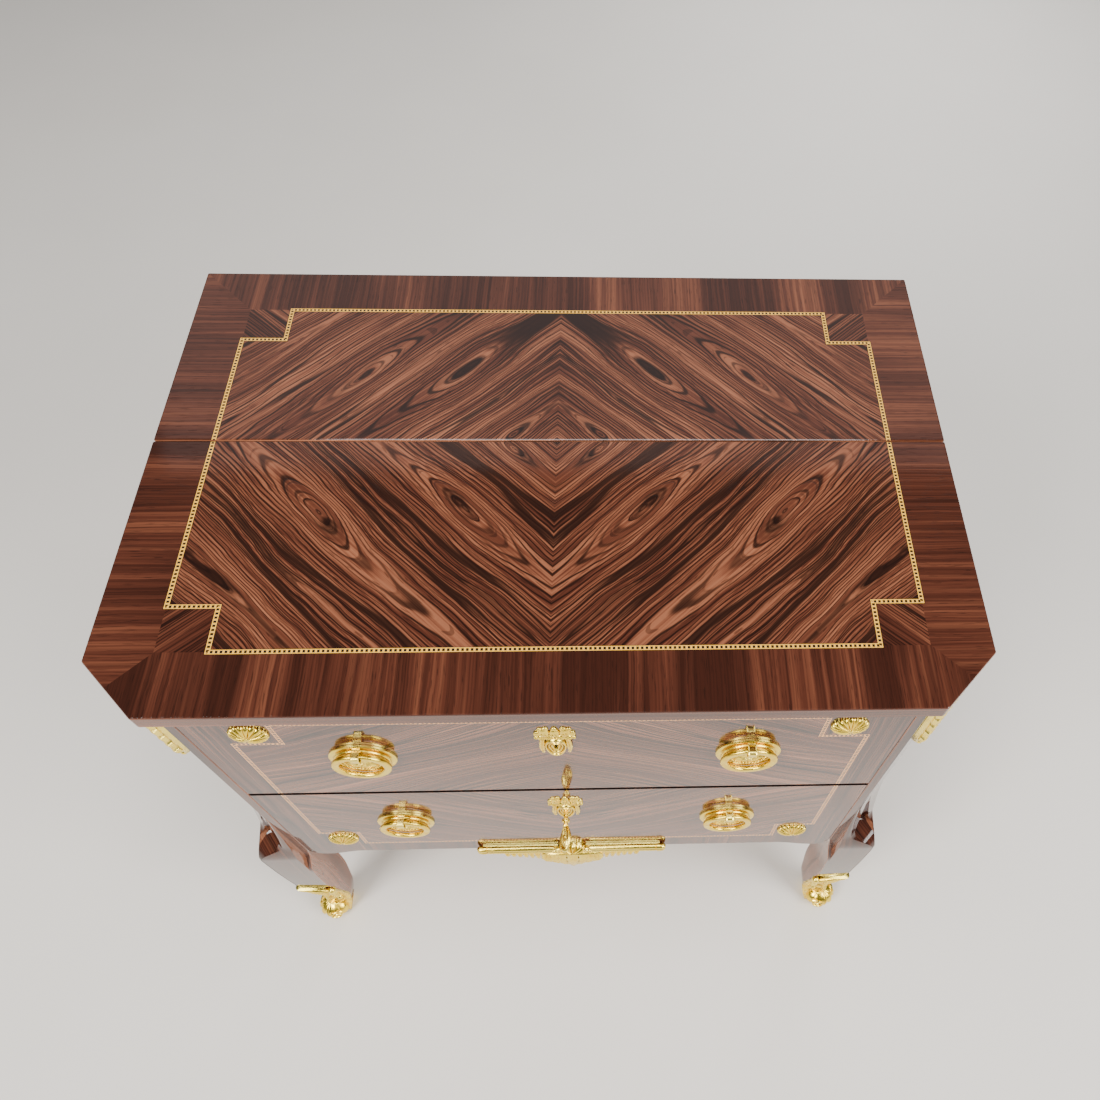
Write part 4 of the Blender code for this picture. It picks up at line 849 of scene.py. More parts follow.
def apron_gilt(name, body, node):
    """The mount on the apron: two reeded bars with capped ends, a shell between them and a leafy fringe."""
    low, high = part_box(node)
    cast = Casting((0.0, high.y, high.z))
    half = (high.x - low.x) / 2
    drop = high.z - low.z
    reed = 0.0042
    levels = (-0.0044, -0.0120)
    under = -0.0162
    fringe = 0.088

    def hang(across):
        """How far the leaves hang at one place along the bars."""
        return 0.0105 + (drop + under - 0.0115) * max(0.0, 1.0 - abs(across) / fringe) ** 1.35

    def rod(stations, level, out, tall):
        """A bar along the mount from (across, share) stations."""
        rows = []
        for across, share in stations:
            row = []
            for step in range(20):
                angle = 2 * math.pi * step / 20
                rise = tall * share * math.cos(angle)
                row.append((across, level + rise, out + reed * share * math.sin(angle)))
            rows.append(row)
        cast.body(rows)

    for side in (-1, 1):
        bar = [(0.0225, 0.40), (0.0230, 0.88), (0.0240, 0.98), (half - 0.0138, 0.98), (half - 0.0134, 0.86)]
        bar += [(half - 0.0126, 0.86), (half - 0.0122, 1.04), (half - 0.0070, 1.08), (half - 0.0032, 0.94)]
        bar += [(half - 0.0010, 0.62), (half - 0.0002, 0.26)]
        for level in levels:
            rod([(side * across, share) for across, share in bar], level, reed, 0.92 * reed)
        bed = []
        for across in (0.018, half - 0.0080):
            edge = side * across
            foot = under + 0.0008
            outline = ((-0.0012, 0.0), (-0.0012, 0.0022), (foot, 0.0022), (foot, 0.0))
            bed.append([(edge, level, out) for level, out in outline])
        cast.body(bed)
        # leaves that hang from the bars and curl forward, longer towards the middle
        for index in range(11):
            across = 0.0845 - 0.0077 * index
            reach = hang(across) + 0.0045
            path = []
            for step in range(9):
                part = step / 8
                curl = 0.0012 + 0.0066 * math.sin(math.pi * (0.10 + 0.72 * part))
                path.append((side * (across - 0.0024 * part), under + 0.0045 - reach * part, curl))
            widths = [0.0026, 0.0035, 0.0038, 0.0036, 0.0033, 0.0029, 0.0023, 0.0015, 0.0005]
            cast.leaf(path, widths, 0.0024, 3, sink=0.0016)
            if index < 9:
                cast.bead((side * (across - 0.0038), under - 0.0030, 0.0050), 0.0024, 0.9, 10)
    # the lip under the shell
    lip = [(-0.0345, 0.35), (-0.0330, 0.85), (-0.0150, 1.1), (0.0150, 1.1), (0.0330, 0.85), (0.0345, 0.35)]
    rod(lip, under - 0.0010, 0.0062, 0.0020)
    ribs = 9

    def fan(angle):
        return 0.0175 * (0.88 + 0.12 * abs(math.cos(ribs * angle / 2))) * (0.80 + 0.20 * abs(math.cos(angle)))

    def fan_rise(share, angle):
        rib = abs(math.cos(ribs * angle / 2)) ** 0.7
        return 0.0020 + 0.0098 * math.sqrt(max(0.0, 1 - share * share * 0.92)) * (0.55 + 0.45 * rib)

    cast.dome((0.0, -0.0085), fan, fan_rise, 9, 144)
    for side in (-1, 1):
        curl = []
        for step in range(22):
            angle = math.radians(80 + 500 * step / 21)
            far = 0.0060 * (1 - 0.62 * step / 21)
            out = 0.0062 + 0.0020 * step / 21
            curl.append((side * (0.0205 + far * math.cos(angle)), -0.0085 + far * math.sin(angle), out))
        cast.cord(curl, [0.0021 - 0.0008 * step / 21 for step in range(22)])
    # the fall in the middle: leaves that overlap down to a point
    longest = drop + under - 0.0010
    falls = ((0.0300, 0.0100, 0.55 * longest, 0.0062), (0.0205, 0.0085, 0.70 * longest, 0.0066))
    falls += ((0.0115, 0.0060, 0.85 * longest, 0.0068), (0.0, 0.0, longest, 0.0086))
    for start, lean, reach, wide in falls:
        for side in (-1, 1) if start else (1,):
            path = []
            for step in range(11):
                part = step / 10
                sway = start - lean * part + 0.9 * lean * math.sin(math.pi * part)
                curl = 0.0034 + 0.0070 * math.sin(math.pi * (0.10 + 0.72 * part))
                path.append((side * sway, under + 0.0010 - reach * part, curl))
            widths = [wide * math.sin(math.pi * (0.16 + 0.82 * step / 10)) ** 0.8 for step in range(11)]
            cast.leaf(path, widths, 0.0032, 5, sink=0.0030)
    cast.bead((0.0, under - longest + 0.0034, 0.0062), 0.0034, 0.9)
    cast.done(name, body, GILT, "gilt", node)


KEY_BIT_REACH = 0.0076
KEY_BIT_HALF = 0.0010
KEY_WARD = 0.0016
KEY_BOW_TILT = math.radians(30.0)


def drawer_key(name, body, node):
    """The key: turned shaft with collars, a bit, and an oval bow with scrolls inside it."""
    low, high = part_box(node)
    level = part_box("lower_drawer_front")[1].z - KEYHOLE_DROP
    cast = Casting((0.0, low.y, level), right=(0.0, 1.0, 0.0), up=(0.0, 0.0, 1.0))
    long = high.y - low.y
    shaft = [(0.0275, 0.0012), (0.0282, 0.0030), (0.0296, 0.0036), (0.0308, 0.0028), (0.0318, 0.0022),
             (0.0332, 0.0024), (0.0340, 0.0044), (0.0356, 0.0047), (0.0372, 0.0044), (0.0380, 0.0026),
             (0.0394, 0.0024), (0.0402, 0.0034), (0.0414, 0.0034), (0.0422, 0.0026),
             (long - 0.0006, 0.0026), (long, 0.0020)]
    rows = []
    for along, radius in shaft:
        row = []
        for step in range(18):
            angle = 2 * math.pi * step / 18
            row.append((along, radius * math.cos(angle), radius * math.sin(angle)))
        rows.append(row)
    cast.body(rows)
    # the bit, with a ward cut into its end
    bit_low = -KEY_BIT_REACH
    ward = bit_low + KEY_WARD
    bit = []
    for back, end in ((0.0050, bit_low), (0.0036, bit_low), (0.0035, ward), (0.0024, ward), (0.0023, bit_low),
                      (0.0006, bit_low)):
        along = long - back
        corners = ((end, -KEY_BIT_HALF), (0.0, -KEY_BIT_HALF), (0.0, KEY_BIT_HALF), (end, KEY_BIT_HALF))
        bit.append([(along, rise, out) for rise, out in corners])
    cast.body(bit)

    def bow(along, wide):
        """A spot on the bow, which leans over from upright."""
        return (along, wide * math.cos(KEY_BOW_TILT), wide * math.sin(KEY_BOW_TILT))

    oval = []
    for step in range(40):
        angle = 2 * math.pi * step / 40
        oval.append(bow(0.0150 + 0.0128 * math.cos(angle), 0.0088 * math.sin(angle)))
    girth = [0.0021 + 0.0005 * math.cos(8 * math.pi * step / 40) for step in range(40)]
    cast.cord(oval, girth, 12, ring_round=True)
    for side in (-1, 1):
        scroll = []
        for step in range(20):
            angle = math.radians(200 - 470 * step / 19)
            far = 0.0044 * (1 - 0.55 * step / 19)
            along = 0.0185 - 0.0055 * step / 19 + far * math.cos(angle)
            scroll.append(bow(along, side * (0.0040 + far * 0.7 * math.sin(angle))))
        cast.cord(scroll, 0.0013, 8)
        sprig = ((0.0262, 0.0010), (0.0230, 0.0034), (0.0180, 0.0058), (0.0120, 0.0056), (0.0070, 0.0030))
        leafy = [bow(along, side * wide) for along, wide in sprig]
        cast.cord(leafy, [0.0010, 0.0019, 0.0022, 0.0018, 0.0009], 8)
    spine = [bow(0.0270, 0.0), bow(0.0200, 0.0), bow(0.0120, 0.0), bow(0.0040, 0.0)]
    cast.cord(spine, [0.0022, 0.0015, 0.0020, 0.0012], 10)
    for along, size in ((0.0020, 0.0030), (0.0105, 0.0026), (0.0165, 0.0020)):
        spot = bow(along + 0.0006, 0.0)
        cast.bead(spot, size, 1.0, 12)
    cast.done(name, body, GILT, "gilt", node)


def post_fall(name, node, side):
    """The gilt fall at the head of a front post: a moulded crown over pairs of leaves and a berried stem."""
    low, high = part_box(node)
    middle = (low + high) / 2
    out = Vector((side, -1.0, 0.0)).normalized()
    thick = 0.0105
    cast = Casting(Vector((middle.x, middle.y, high.z)) - out * thick / 2, right=(1.0, side * 1.0, 0.0))
    tall = high.z - low.z
    half = 0.0170
    plate = []
    taper = [(0.0004, 1.0), (0.030, 1.0), (0.062, 0.97), (0.090, 0.88), (0.112, 0.66)]
    taper += [(tall - 0.008, 0.42), (tall - 0.001, 0.12)]
    for level, wide in taper:
        edge = half * wide
        outline = ((-1, 0.0), (1, 0.0), (1, 0.0040), (0.8, 0.0060), (-0.8, 0.0060), (-1, 0.0040))
        plate.append([(edge * share, -level, deep) for share, deep in outline])
    cast.body(plate)
    crown = []
    moulding = ((0.0005, 0.0070), (0.0022, 0.0098), (0.0050, 0.0108), (0.0078, 0.0098), (0.0092, 0.0066))
    for level, deep in moulding:
        swell = deep + 0.0006
        outline = ((-1, 0.0), (1, 0.0), (1, deep), (0.5, swell), (-0.5, swell), (-1, deep))
        crown.append([(half * share, -level, out_to) for share, out_to in outline])
    cast.body(crown)
    for pair in range(6):
        top = -0.012 - 0.0180 * pair
        reach = 0.027 - 0.0016 * pair
        wide = half * (1.0 - 0.085 * pair)
        for hand in (-1, 1):
            path = []
            for step in range(9):
                part = step / 8
                curl = 0.0050 + 0.0046 * math.sin(math.pi * (0.10 + 0.80 * part))
                spread = wide * (0.14 + 0.62 * math.sin(math.pi * 0.5 * part))
                path.append((hand * spread, top - reach * part, curl))
            widths = [0.0022, 0.0040, 0.0049, 0.0051, 0.0048, 0.0041, 0.0032, 0.0022, 0.0008]
            cast.leaf(path, widths, 0.0024, 4, sink=0.0036)
    stem = []
    for step in range(16):
        part = step / 15
        stem.append((0.0, -0.010 - (tall - 0.016) * part, 0.0074 + 0.0010 * math.sin(math.pi * part)))
    cast.leaf(stem, [0.0040 * (1 - 0.55 * step / 15) for step in range(16)], 0.0022, 0, sink=0.003)
    for drop in range(8):
        cast.bead((0.0, -0.014 - 0.0142 * drop, 0.0098 - 0.0001 * drop), 0.0028 - 0.00016 * drop, 0.7, 12)
    cast.bead((0.0, -tall + 0.0046, 0.0060), 0.0042, 0.8)
    cast.done(name, "case", GILT, "gilt", node)


# Height, flare, corner cut and the two reaches of a front leg, from its foot up to the head of its post
LEG_STATIONS = (
    (0.0043, 0.0060, 0.0025, 0.0220, 0.0150),
    (0.0360, 0.0015, 0.0025, 0.0305, 0.0245),
    (0.0720, -0.0015, 0.0025, 0.0355, 0.0300),
    (0.1200, 0.0045, 0.0025, 0.0355, 0.0400),
    (0.1800, 0.0112, 0.0025, 0.0345, 0.0430),
    (0.3000, 0.0130, 0.0025, 0.0420, 0.0460),
    (0.3200, 0.0130, 0.0025, 0.0445, 0.0460),
    (0.3580, 0.0078, 0.0350, 0.0445, 0.0460),
    (0.4650, 0.0000, 0.0350, 0.0445, 0.0460),
    (0.7707, 0.0000, 0.0350, 0.0445, 0.0460),
)
LEG_HEIGHTS = [row[0] for row in LEG_STATIONS]


def leg_bends(column):
    """Slopes at the stations of a line that never swings past them."""
    values = [row[column] for row in LEG_STATIONS]
    rises = []
    for index in range(len(values) - 1):
        rises.append((values[index + 1] - values[index]) / (LEG_HEIGHTS[index + 1] - LEG_HEIGHTS[index]))
    bends = [rises[0]]
    for before, after in zip(rises, rises[1:]):
        bends.append(0.0 if before * after <= 0 else 2 * before * after / (before + after))
    return bends + [rises[-1]]


LEG_BENDS = [leg_bends(column) for column in range(1, 5)]


def leg_at(level):
    """Flare, corner cut and the two reaches of a leg at one height, flowing through its stations."""
    index = max(spot for spot in range(len(LEG_HEIGHTS) - 1) if LEG_HEIGHTS[spot] <= level or spot == 0)
    span = LEG_HEIGHTS[index + 1] - LEG_HEIGHTS[index]
    share = (level - LEG_HEIGHTS[index]) / span
    found = []
    for column, bends in enumerate(LEG_BENDS, 1):
        value = (1 + 2 * share) * (1 - share) ** 2 * LEG_STATIONS[index][column]
        value += share ** 2 * (3 - 2 * share) * LEG_STATIONS[index + 1][column]
        value += share * (1 - share) ** 2 * span * bends[index]
        value += share ** 2 * (share - 1) * span * bends[index + 1]
        found.append(value)
    return found


def steps_between(start, end, count):
    """Evenly spaced values from start up to, but not at, end."""
    return [start + (end - start) * step / count for step in range(count)]


def soft_step(value, low, high):
    share = min(1.0, max(0.0, (value - low) / (high - low)))
    return share * share * (3 - 2 * share)


FLUTE_FOOT = 0.342
FLUTE_HEAD = 0.465
FLUTE_RADIUS = 0.0165
FLUTE_STANDOFF = 0.0040


def fluted_leg(name, node, side):
    """A front leg and its post: a flat stile strip, a canted face with a stopped flute, and a square knee."""
    corner = (side * CORNER_X, CASE_MIDDLE_Y - CORNER_Y, 0.0)
    cast = Casting(corner, right=(side, 0.0, 0.0), up=(0.0, -1.0, 0.0))
    cast.out = Vector((0.0, 0.0, 1.0))
    diagonal = math.sqrt(2.0)
    crest = leg_at(LEG_HEIGHTS[7])[0]
    ease = 0.0008

    def outline(level):
        flare, cut, reach_x, reach_y = leg_at(level)
        strip = flare * (1.0 - soft_step(level, 0.268, 0.300))
        inner = -reach_x
        stile = max(min(-CANT, flare - cut) - 0.0006, inner + 5 * ease)
        points = [(inner, strip - ease), (inner + ease, strip)]
        points += [(across, strip) for across in steps_between(inner + 2 * ease, stile, 3)]
        points += [(stile, strip), (stile + 0.0003, flare)]
        points += [(across, flare) for across in steps_between(stile + 0.0005, flare - cut - 0.0001, 4)]
        # the canted face, with the flute sunk into its middle
        face = (2 * flare - cut) / diagonal
        half = cut / diagonal
        rise = min(1.0, max(0.0, (level - FLUTE_FOOT) / (FLUTE_HEAD - FLUTE_FOOT)))
        radius = FLUTE_RADIUS * (1.0 - rise)
        mouth = max(0.0004, min(radius, 0.90 * half))
        axis = diagonal * ((crest - CANT / 2 + FLUTE_STANDOFF) * (1.0 - rise) - CANT / 2 * rise)
        sink = soft_step(level, FLUTE_FOOT - 0.006, FLUTE_FOOT + 0.003)
        sink *= soft_step(FLUTE_HEAD - level, 0.0, 0.006)
        edge = half - min(ease, 0.3 * half)
        canted = [(-edge, face)]
        canted += [(place, face) for place in steps_between(-edge, -mouth, 4)[1:]]
        for step in range(19):
            place = -mouth * math.cos(math.pi * step / 18)
            floor = axis - math.sqrt(max(0.0, radius * radius - place * place))
            sunk = face
            if 0 < step < 18:
                sunk = face + (min(face, floor) - face) * sink
            canted.append((place, sunk))
        canted += [(place, face) for place in steps_between(mouth, edge, 4)[1:]]
        canted.append((edge, face))
        points += [((out + place) / diagonal, (out - place) / diagonal) for place, out in canted]
        # the side face and the two inner faces
        points += [(flare, along) for along in steps_between(flare - cut - 0.0004, -reach_y + ease, 5)]
        points += [(flare, -reach_y + ease), (flare - ease, -reach_y)]
        points += [(across, -reach_y) for across in steps_between(flare - 2 * ease, inner + ease, 4)]
        points += [(inner + ease, -reach_y), (inner, -reach_y + ease)]
        points += [(inner, along) for along in steps_between(-reach_y + 2 * ease, strip - 2 * ease, 4)]
        return [(right, up, level) for right, up in points]

    levels = steps_between(LEG_HEIGHTS[0], 0.180, 22) + steps_between(0.180, 0.312, 14)
    levels += steps_between(0.312, 0.332, 8) + steps_between(0.332, 0.350, 18)
    levels += steps_between(0.350, 0.470, 30)
    levels += steps_between(0.470, LEG_HEIGHTS[-1], 6) + [LEG_HEIGHTS[-1]]
    cast.body([outline(level) for level in levels])
    cast.done(name, "case", LEG_ROSEWOOD, "rosewood", node, sharp=30.0)


def leaf_shoe(name, node, side, front):
    """The gilt shoe of a leg: a lipped casing over the outer faces, a low heel and a gadrooned ball toe."""
    corner = Vector((side * CORNER_X, CASE_MIDDLE_Y + front * CORNER_Y, 0.0))
    cast = Casting(corner, right=(side, 0.0, 0.0), up=(0.0, front, 0.0))
    cast.out = Vector((0.0, 0.0, 1.0))
    round_off = 0.0055
    arc = 0.09

    def skin(turn, level, grow):
        """A spot on the shoe: turn 0 is the inner front arris, 0.5 the ridge, 1 the back arris."""
        flare, cut, reach_x, reach_y = leg_at(max(level, LEG_HEIGHTS[0]))
        edge = flare + grow
        thin = min(grow, 0.0012)
        if turn < 0.5 - arc:
            start = -reach_x - thin
            return (start + (edge - round_off - start) * turn / (0.5 - arc), edge, level)
        if turn < 0.5 + arc:
            angle = math.pi / 2 * (0.5 + arc - turn) / (2 * arc)
            bend = edge - round_off
            return (bend + round_off * math.cos(angle), bend + round_off * math.sin(angle), level)
        if turn < 1.0:
            share = (turn - 0.5 - arc) / (0.5 - arc)
            return (edge, edge - round_off + (-reach_y - thin - edge + round_off) * share, level)
        if turn < 1.5:
            return (edge + (-reach_x - thin - edge) * (turn - 1.0) * 2, -reach_y - thin, level)
        return (-reach_x - thin, -reach_y - thin + (edge + reach_y + thin) * (turn - 1.5) * 2, level)

    def crest(turn):
        """Height of the edge: nearly level over the outer faces, sloping down to the heel behind."""
        if turn <= 1.0:
            return 0.1600 - 0.020 * (abs(turn - 0.5) * 2) ** 2
        return 0.016 + 0.108 * (abs(turn - 1.5) * 2) ** 9

    def lobing(turn):
        return abs(math.cos(math.pi * 5 * (turn - 0.5)))

    turns = steps_between(0.0, 1.0, 60) + steps_between(1.0, 2.0, 64)
    rings = []
    for turn in turns:
        outward = turn <= 1.0
        top = crest(turn) + (0.003 if outward else 0.0)
        outer = []
        inner = []
        for row in range(53):
            share = row / 52
            level = 0.0005 + (min(top, 0.1679) - 0.0005) * share
            grow = 0.0012
            if outward:
                side_way = abs(turn - 0.5) * 2
                full = math.sin(math.pi * min(1.0, 1.04 * share)) ** 0.6
                feather = 0.5 + 0.5 * math.cos(2 * math.pi * (8.5 * share - 2.6 * side_way))
                lip = 0.0034 * max(0.0, (share - 0.88) / 0.12) ** 1.4
                grow += (0.0010 * lobing(turn) + 0.0016 * feather) * full + lip
            outer.append(skin(turn, level, grow))
            inner.append(skin(turn, level, 0.0004))
        rings.append(outer + inner[::-1])
    cast.body(rings, ring_round=True)
    # curled leaf tips along the lip, and leaves and berries up the ridge
    for flank in (-1, 1):
        lip = []
        girth = []
        for step in range(29):
            part = step / 28
            turn = 0.5 + flank * 0.47 * part
            lip.append(skin(turn, crest(turn) - 0.0005, 0.0026 + 0.0010 * part))
            girth.append(0.0020 + 0.0026 * part ** 0.8)
        cast.cord(lip, girth, 12)
        for knob in range(5):
            part = knob / 4
            spot = skin(0.5 + flank * (0.47 - 0.16 * part), 0.150 - 0.082 * part, 0.0030)
            cast.bead(spot, 0.0058 - 0.0010 * part, 1.1, 14)
    for husk in range(11):
        cast.bead(skin(0.5, 0.042 + 0.0108 * husk, 0.0014), 0.0052 - 0.0002 * abs(husk - 5), 1.5, 14)
    # the toe: a squashed ball with gadroons, a volute on each side and a leaf over the front
    wide = 0.0230
    tall = 0.0175
    pull = -0.0015 if front < 0 else -0.0050
    middle = Vector((-0.0030, pull, tall + 0.0003))
    rows = []
    for step in range(1, 18):
        tilt = math.pi * step / 18
        row = []
        for part in range(80):
            angle = 2 * math.pi * part / 80
            gadroon = 1.0 - 0.055 * (1.0 - abs(math.cos(5 * angle)) ** 0.6) * math.sin(tilt)
            far = wide * math.sin(tilt) * gadroon
            spot = Vector((far * math.cos(angle), far * math.sin(angle), -tall * math.cos(tilt)))
            row.append(middle + spot)
        rows.append(row)
    cast.body(rows)

    def on_ball(angle, tilt, lift):
        """A spot over the ball: angle round it, tilt up from its equator."""
        far = math.cos(tilt) * (wide + lift)
        rise = math.sin(tilt) * (tall + lift)
        return middle + Vector((far * math.cos(angle), far * math.sin(angle), rise))

    ahead = math.pi / 4
    for hand in (-1, 1):
        coil = []
        for step in range(36):
            turn = math.radians(40 + 560 * step / 35)
            far = 0.46 * (1 - 0.80 * step / 35)
            angle = ahead + hand * (1.05 + far * math.cos(turn))
            coil.append(on_ball(angle, 0.20 + far * math.sin(turn), 0.0004))
        cast.cord(coil, [0.0019 - 0.0008 * step / 35 for step in range(36)], 8)
    for hand, reach, spread in ((-1, 0.50, 0.20), (1, 0.50, 0.20), (0, 0.85, 0.26)):
        rows = []
        for step in range(12):
            part = step / 11
            tilt = 1.25 - (1.25 - 0.70 + reach) * part
            turn = spread * math.sin(math.pi * (0.22 + 0.74 * part)) ** 0.8 / max(0.35, math.cos(tilt))
            side_turn = hand * 0.52 * (0.4 + 0.6 * part)
            row = []
            for place in range(9):
                lean = -1.0 + place / 4
                lift = 0.0020 * (1 - 0.8 * lean * lean) - 0.0009 * math.exp(-(lean / 0.22) ** 2)
                row.append(on_ball(ahead + side_turn + lean * turn, tilt, lift))
            for lean in (0.9, -0.9):
                row.append(on_ball(ahead + side_turn + lean * turn, tilt, -0.0030))
            rows.append(row)
        cast.body(rows)
    cast.done(name, "case", GILT, "gilt", node)


def lined_leather(name, node):
    """The leather of the writing bed: a thin skin with a soft swell and turned-down edges."""
    low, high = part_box(node)
    cast = Casting((0.0, 0.0, low.z), right=(1.0, 0.0, 0.0), up=(0.0, 1.0, 0.0))
    wide = (high.x - low.x) / 2
    back = high.y
    front = low.y
    thick = high.z - low.z

    def skin(inset, level):
        points = []
        edge = wide - inset
        near = front + inset
        far = back - inset
        corners = ((edge, near), (edge, far), (-edge, far), (-edge, near))
        for (ax, ay), (bx, by) in zip(corners, corners[1:] + corners[:1]):
            for step in range(12):
                points.append((ax + (bx - ax) * step / 12, ay + (by - ay) * step / 12, level))
        return points

    rolls = ((0.0004, 0.0), (0.0, 0.45), (0.0004, 0.86), (0.0014, 1.0), (0.014, 1.05), (0.040, 1.08))
    cast.body([skin(inset, thick * share) for inset, share in rolls])
    cast.done(name, "case", LEATHER, "leather", node)


# Softened arrises for the timber that stays as the frame has it
def soften(node, width, segments=2):
    """Round the sharp edges of a board."""
    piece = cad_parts[node]
    step = piece.modifiers.new("arris", "BEVEL")
    step.width = width
    step.segments = segments
    step.limit_method = "ANGLE"
    step.angle_limit = math.radians(40.0)
    step.harden_normals = False


def smoothing():
    """Geometry nodes that shade a faceted piece smoothly, keeping its arrises."""
    group = bpy.data.node_groups.new("rubbed_smooth", "GeometryNodeTree")
    group.interface.new_socket("Geometry", in_out="INPUT", socket_type="NodeSocketGeometry")
    group.interface.new_socket("Geometry", in_out="OUTPUT", socket_type="NodeSocketGeometry")
    start = group.nodes.new("NodeGroupInput")
    end = group.nodes.new("NodeGroupOutput")
    smooth = group.nodes.new("GeometryNodeSetShadeSmooth")
    smooth.domain = "FACE"
    crease = group.nodes.new("GeometryNodeSetShadeSmooth")
    crease.domain = "EDGE"
    crease.inputs["Shade Smooth"].default_value = False
    bend = group.nodes.new("GeometryNodeInputMeshEdgeAngle")
    sharp = group.nodes.new("FunctionNodeCompare")
    sharp.operation = "GREATER_THAN"
    sharp.inputs[1].default_value = math.radians(26.0)
    group.links.new(start.outputs[0], smooth.inputs["Geometry"])
    group.links.new(smooth.outputs[0], crease.inputs["Geometry"])
    group.links.new(bend.outputs["Unsigned Angle"], sharp.inputs[0])
    group.links.new(sharp.outputs[0], crease.inputs["Selection"])
    group.links.new(crease.outputs[0], end.inputs[0])
    return group


SMOOTH = smoothing()
TIMBER = {}
for word in ("front_leaf", "rear_leaf"):
    TIMBER[word] = (LEAF_ROSEWOOD, 0.0)
for word in ("upper_drawer_front", "lower_drawer_front"):
    TIMBER[word] = (FRONT_ROSEWOOD, 0.0007)
for word in ("left_side_panel", "right_side_panel"):
    TIMBER[word] = (SIDE_ROSEWOOD, 0.0007)
for word in ("rear_left_leg", "rear_right_leg"):
    TIMBER[word] = (LEG_ROSEWOOD, 0.0009)
TIMBER["writing_bed"] = (BED_ROSEWOOD, 0.0006)
TIMBER["back_panel"] = (BACK_WOOD, 0.0008)
for word in ("bottom_board", "dust_board", "top_board"):
    TIMBER[word] = (BEECH_WIDE, 0.0006)
for hand in ("left", "right"):
    TIMBER[f"{hand}_top_rail"] = (BEECH_DEEP, 0.0006)
    TIMBER[f"{hand}_leaf_bearer"] = (BEECH_DEEP, 0.0006)
for tier in ("upper", "lower"):
    for hand in ("left", "right"):
        TIMBER[f"{tier}_{hand}_drawer_guide"] = (BEECH_DEEP, 0.0006)
        TIMBER[f"{tier}_drawer_{hand}_side"] = (BEECH_DEEP, 0.0006)
    TIMBER[f"{tier}_drawer_back"] = (BEECH_WIDE, 0.0006)
    TIMBER[f"{tier}_drawer_bottom"] = (BEECH_WIDE, 0.0004)
    TIMBER[f"{tier}_lock"] = (IRON, 0.0004)
    TIMBER[f"{tier}_lock_bolt"] = (IRON, 0.0003)
for node, (material, arris) in TIMBER.items():
    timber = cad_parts[node]
    timber.data.materials.clear()
    timber.data.materials.append(material)
    if arris:
        soften(node, arris)
    timber.modifiers.new("rubbed", "NODES").node_group = SMOOTH

for tier in ("upper", "lower"):
    drawer = f"{tier}_drawer"
    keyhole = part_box(f"{tier}_drawer_front")[1].z - KEYHOLE_DROP
    bow_escutcheon(f"{tier}_bow_escutcheon", drawer, f"{tier}_escutcheon", keyhole)
    for hand in ("left", "right"):
        shell_rosette(f"{tier}_{hand}_shell", drawer, f"{tier}_{hand}_rosette")
        pull_plate(f"{tier}_{hand}_pull_back", drawer, f"{tier}_{hand}_pull_plate", f"{tier}_{hand}_ring")
        pull_ring(f"{tier}_{hand}_pull_ring", f"{tier}_{hand}_ring", f"{tier}_{hand}_ring")
apron_gilt("apron_gilt", "lower_drawer", "apron_mount")
drawer_key("drawer_key", "key", "lock_key")
for hand, sign in (("left", -1), ("right", 1)):
    post_fall(f"{hand}_post_fall", f"{hand}_chute", sign)
    fluted_leg(f"{hand}_fluted_leg", f"front_{hand}_leg", sign)
    for end, way in (("front", -1), ("rear", 1)):
        leaf_shoe(f"{end}_{hand}_leaf_shoe", f"{end}_{hand}_sabot", sign, way)
lined_leather("lined_leather", "bed_leather")


# Floor, light and camera
def studio_floor():
    """A plain pale floor."""
    f = Finish("studio_floor")
    x, y, z = f.rest_place()
    soft = f.noise(x * 3.0, y * 3.0, 0.0, 3.0)
    pale = f.mix(soft, (0.69, 0.655, 0.610, 1.0), (0.74, 0.705, 0.660, 1.0))
    f.feed(colour=pale, roughness=0.55 + 0.1 * soft)
    mesh = bpy.data.meshes.new("studio_floor")
    mesh.from_pydata([(-7, -7, 0), (7, -7, 0), (7, 7, 0), (-7, 7, 0)], [], [(0, 1, 2, 3)])
    mesh.materials.append(f.material)
    floor = bpy.data.objects.new("studio_floor", mesh)
    bpy.context.scene.collection.objects.link(floor)


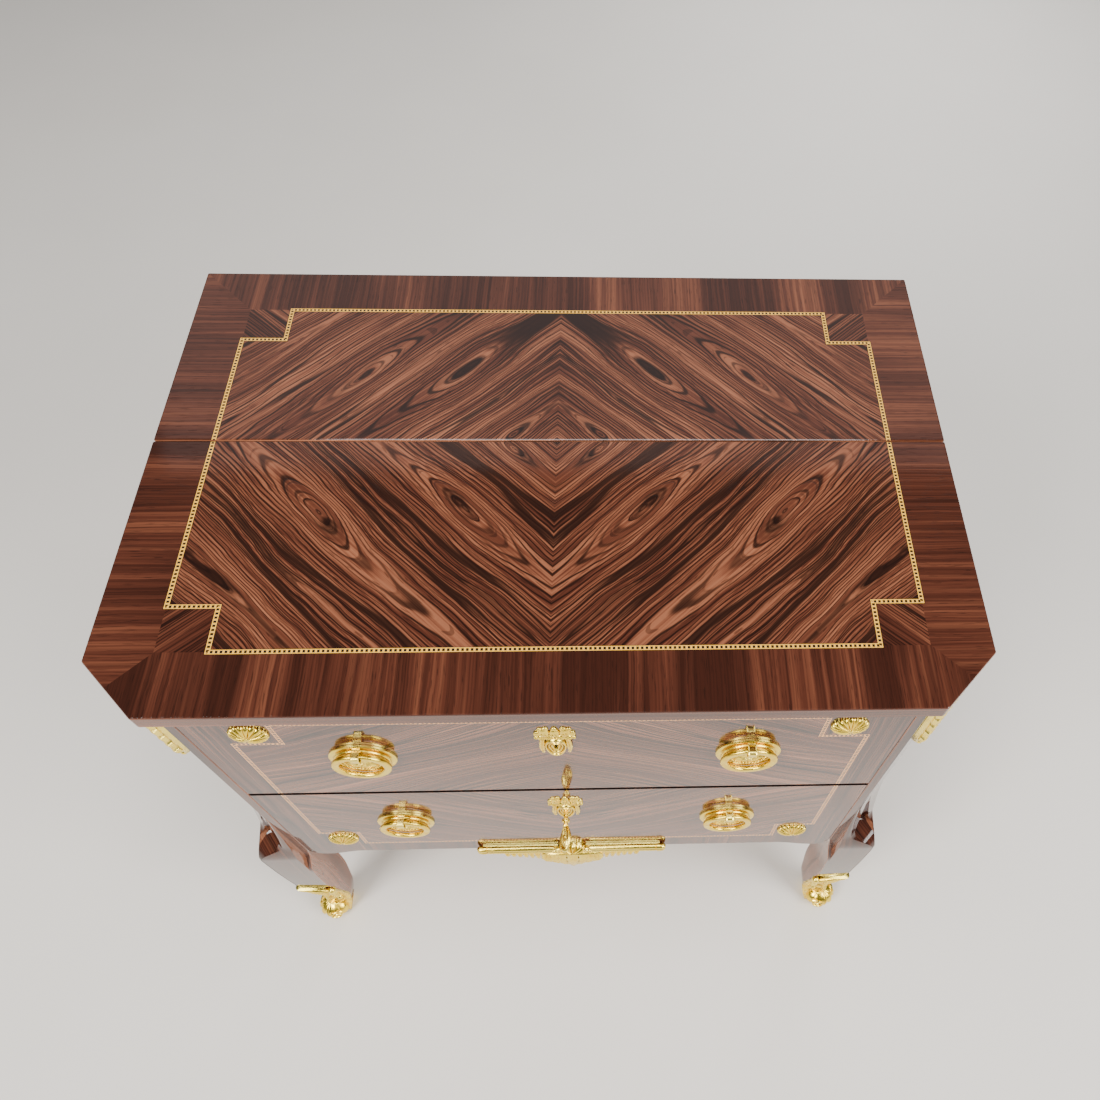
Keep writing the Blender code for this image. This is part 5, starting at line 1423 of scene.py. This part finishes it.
def soft_light(name, place, aim, size, power, colour=(1.0, 1.0, 1.0)):
    """A large soft lamp."""
    lamp = bpy.data.lights.new(name, "AREA")
    lamp.shape = "RECTANGLE"
    lamp.size, lamp.size_y = size
    lamp.energy = power
    lamp.color = colour
    holder = bpy.data.objects.new(name, lamp)
    holder.location = place
    holder.rotation_euler = (Vector(aim) - Vector(place)).to_track_quat("-Z", "Y").to_euler()
    bpy.context.scene.collection.objects.link(holder)


studio_floor()
soft_light("key_lamp", (-1.9, -2.1, 2.9), (0.0, 0.0, 0.5), (1.6, 1.6), 168.0, (1.0, 0.97, 0.93))
soft_light("fill_lamp", (2.3, -1.6, 2.2), (0.0, 0.0, 0.5), (1.8, 1.6), 122.0, (1.0, 0.98, 0.95))
soft_light("head_lamp", (0.0, -0.5, 3.6), (0.0, 0.0, 0.6), (2.2, 1.2), 80.0)
soft_light("back_lamp", (1.2, 3.0, 1.3), (0.0, 0.0, 0.5), (1.6, 1.0), 40.0)
soft_light("ceiling_glow", (0.0, 2.05, 2.65), (0.0, 0.2, 0.8), (3.4, 0.9), 6.0)
world = bpy.data.worlds.new("studio")
bpy.context.scene.world = world
world.use_nodes = True
world.node_tree.nodes["Background"].inputs["Color"].default_value = (0.80, 0.82, 0.85, 1.0)
world.node_tree.nodes["Background"].inputs["Strength"].default_value = 0.20


def camera():
    """A camera where the photograph was taken from, over the front of the desk."""
    yaw, pitch, roll = 0.0919, 1.0266, -0.0720
    ahead = Vector((math.sin(yaw) * math.cos(pitch), math.cos(yaw) * math.cos(pitch), -math.sin(pitch)))
    level = Vector((math.cos(yaw), -math.sin(yaw), 0.0))
    down = ahead.cross(level)
    right = level * math.cos(roll) + down * math.sin(roll)
    under = down * math.cos(roll) - level * math.sin(roll)
    lens = bpy.data.cameras.new("camera")
    lens.sensor_width = 36.0
    lens.lens = 36.0 * 915.57 / 1100.0
    lens.shift_x = -0.0983
    lens.shift_y = 0.0319
    holder = bpy.data.objects.new("camera", lens)
    turn = Matrix((right, -under, -ahead)).transposed()
    holder.matrix_world = Matrix.Translation((0.0574, CASE_MIDDLE_Y - 0.5808, 1.5129)) @ turn.to_4x4()
    bpy.context.scene.collection.objects.link(holder)
    bpy.context.scene.camera = holder


camera()
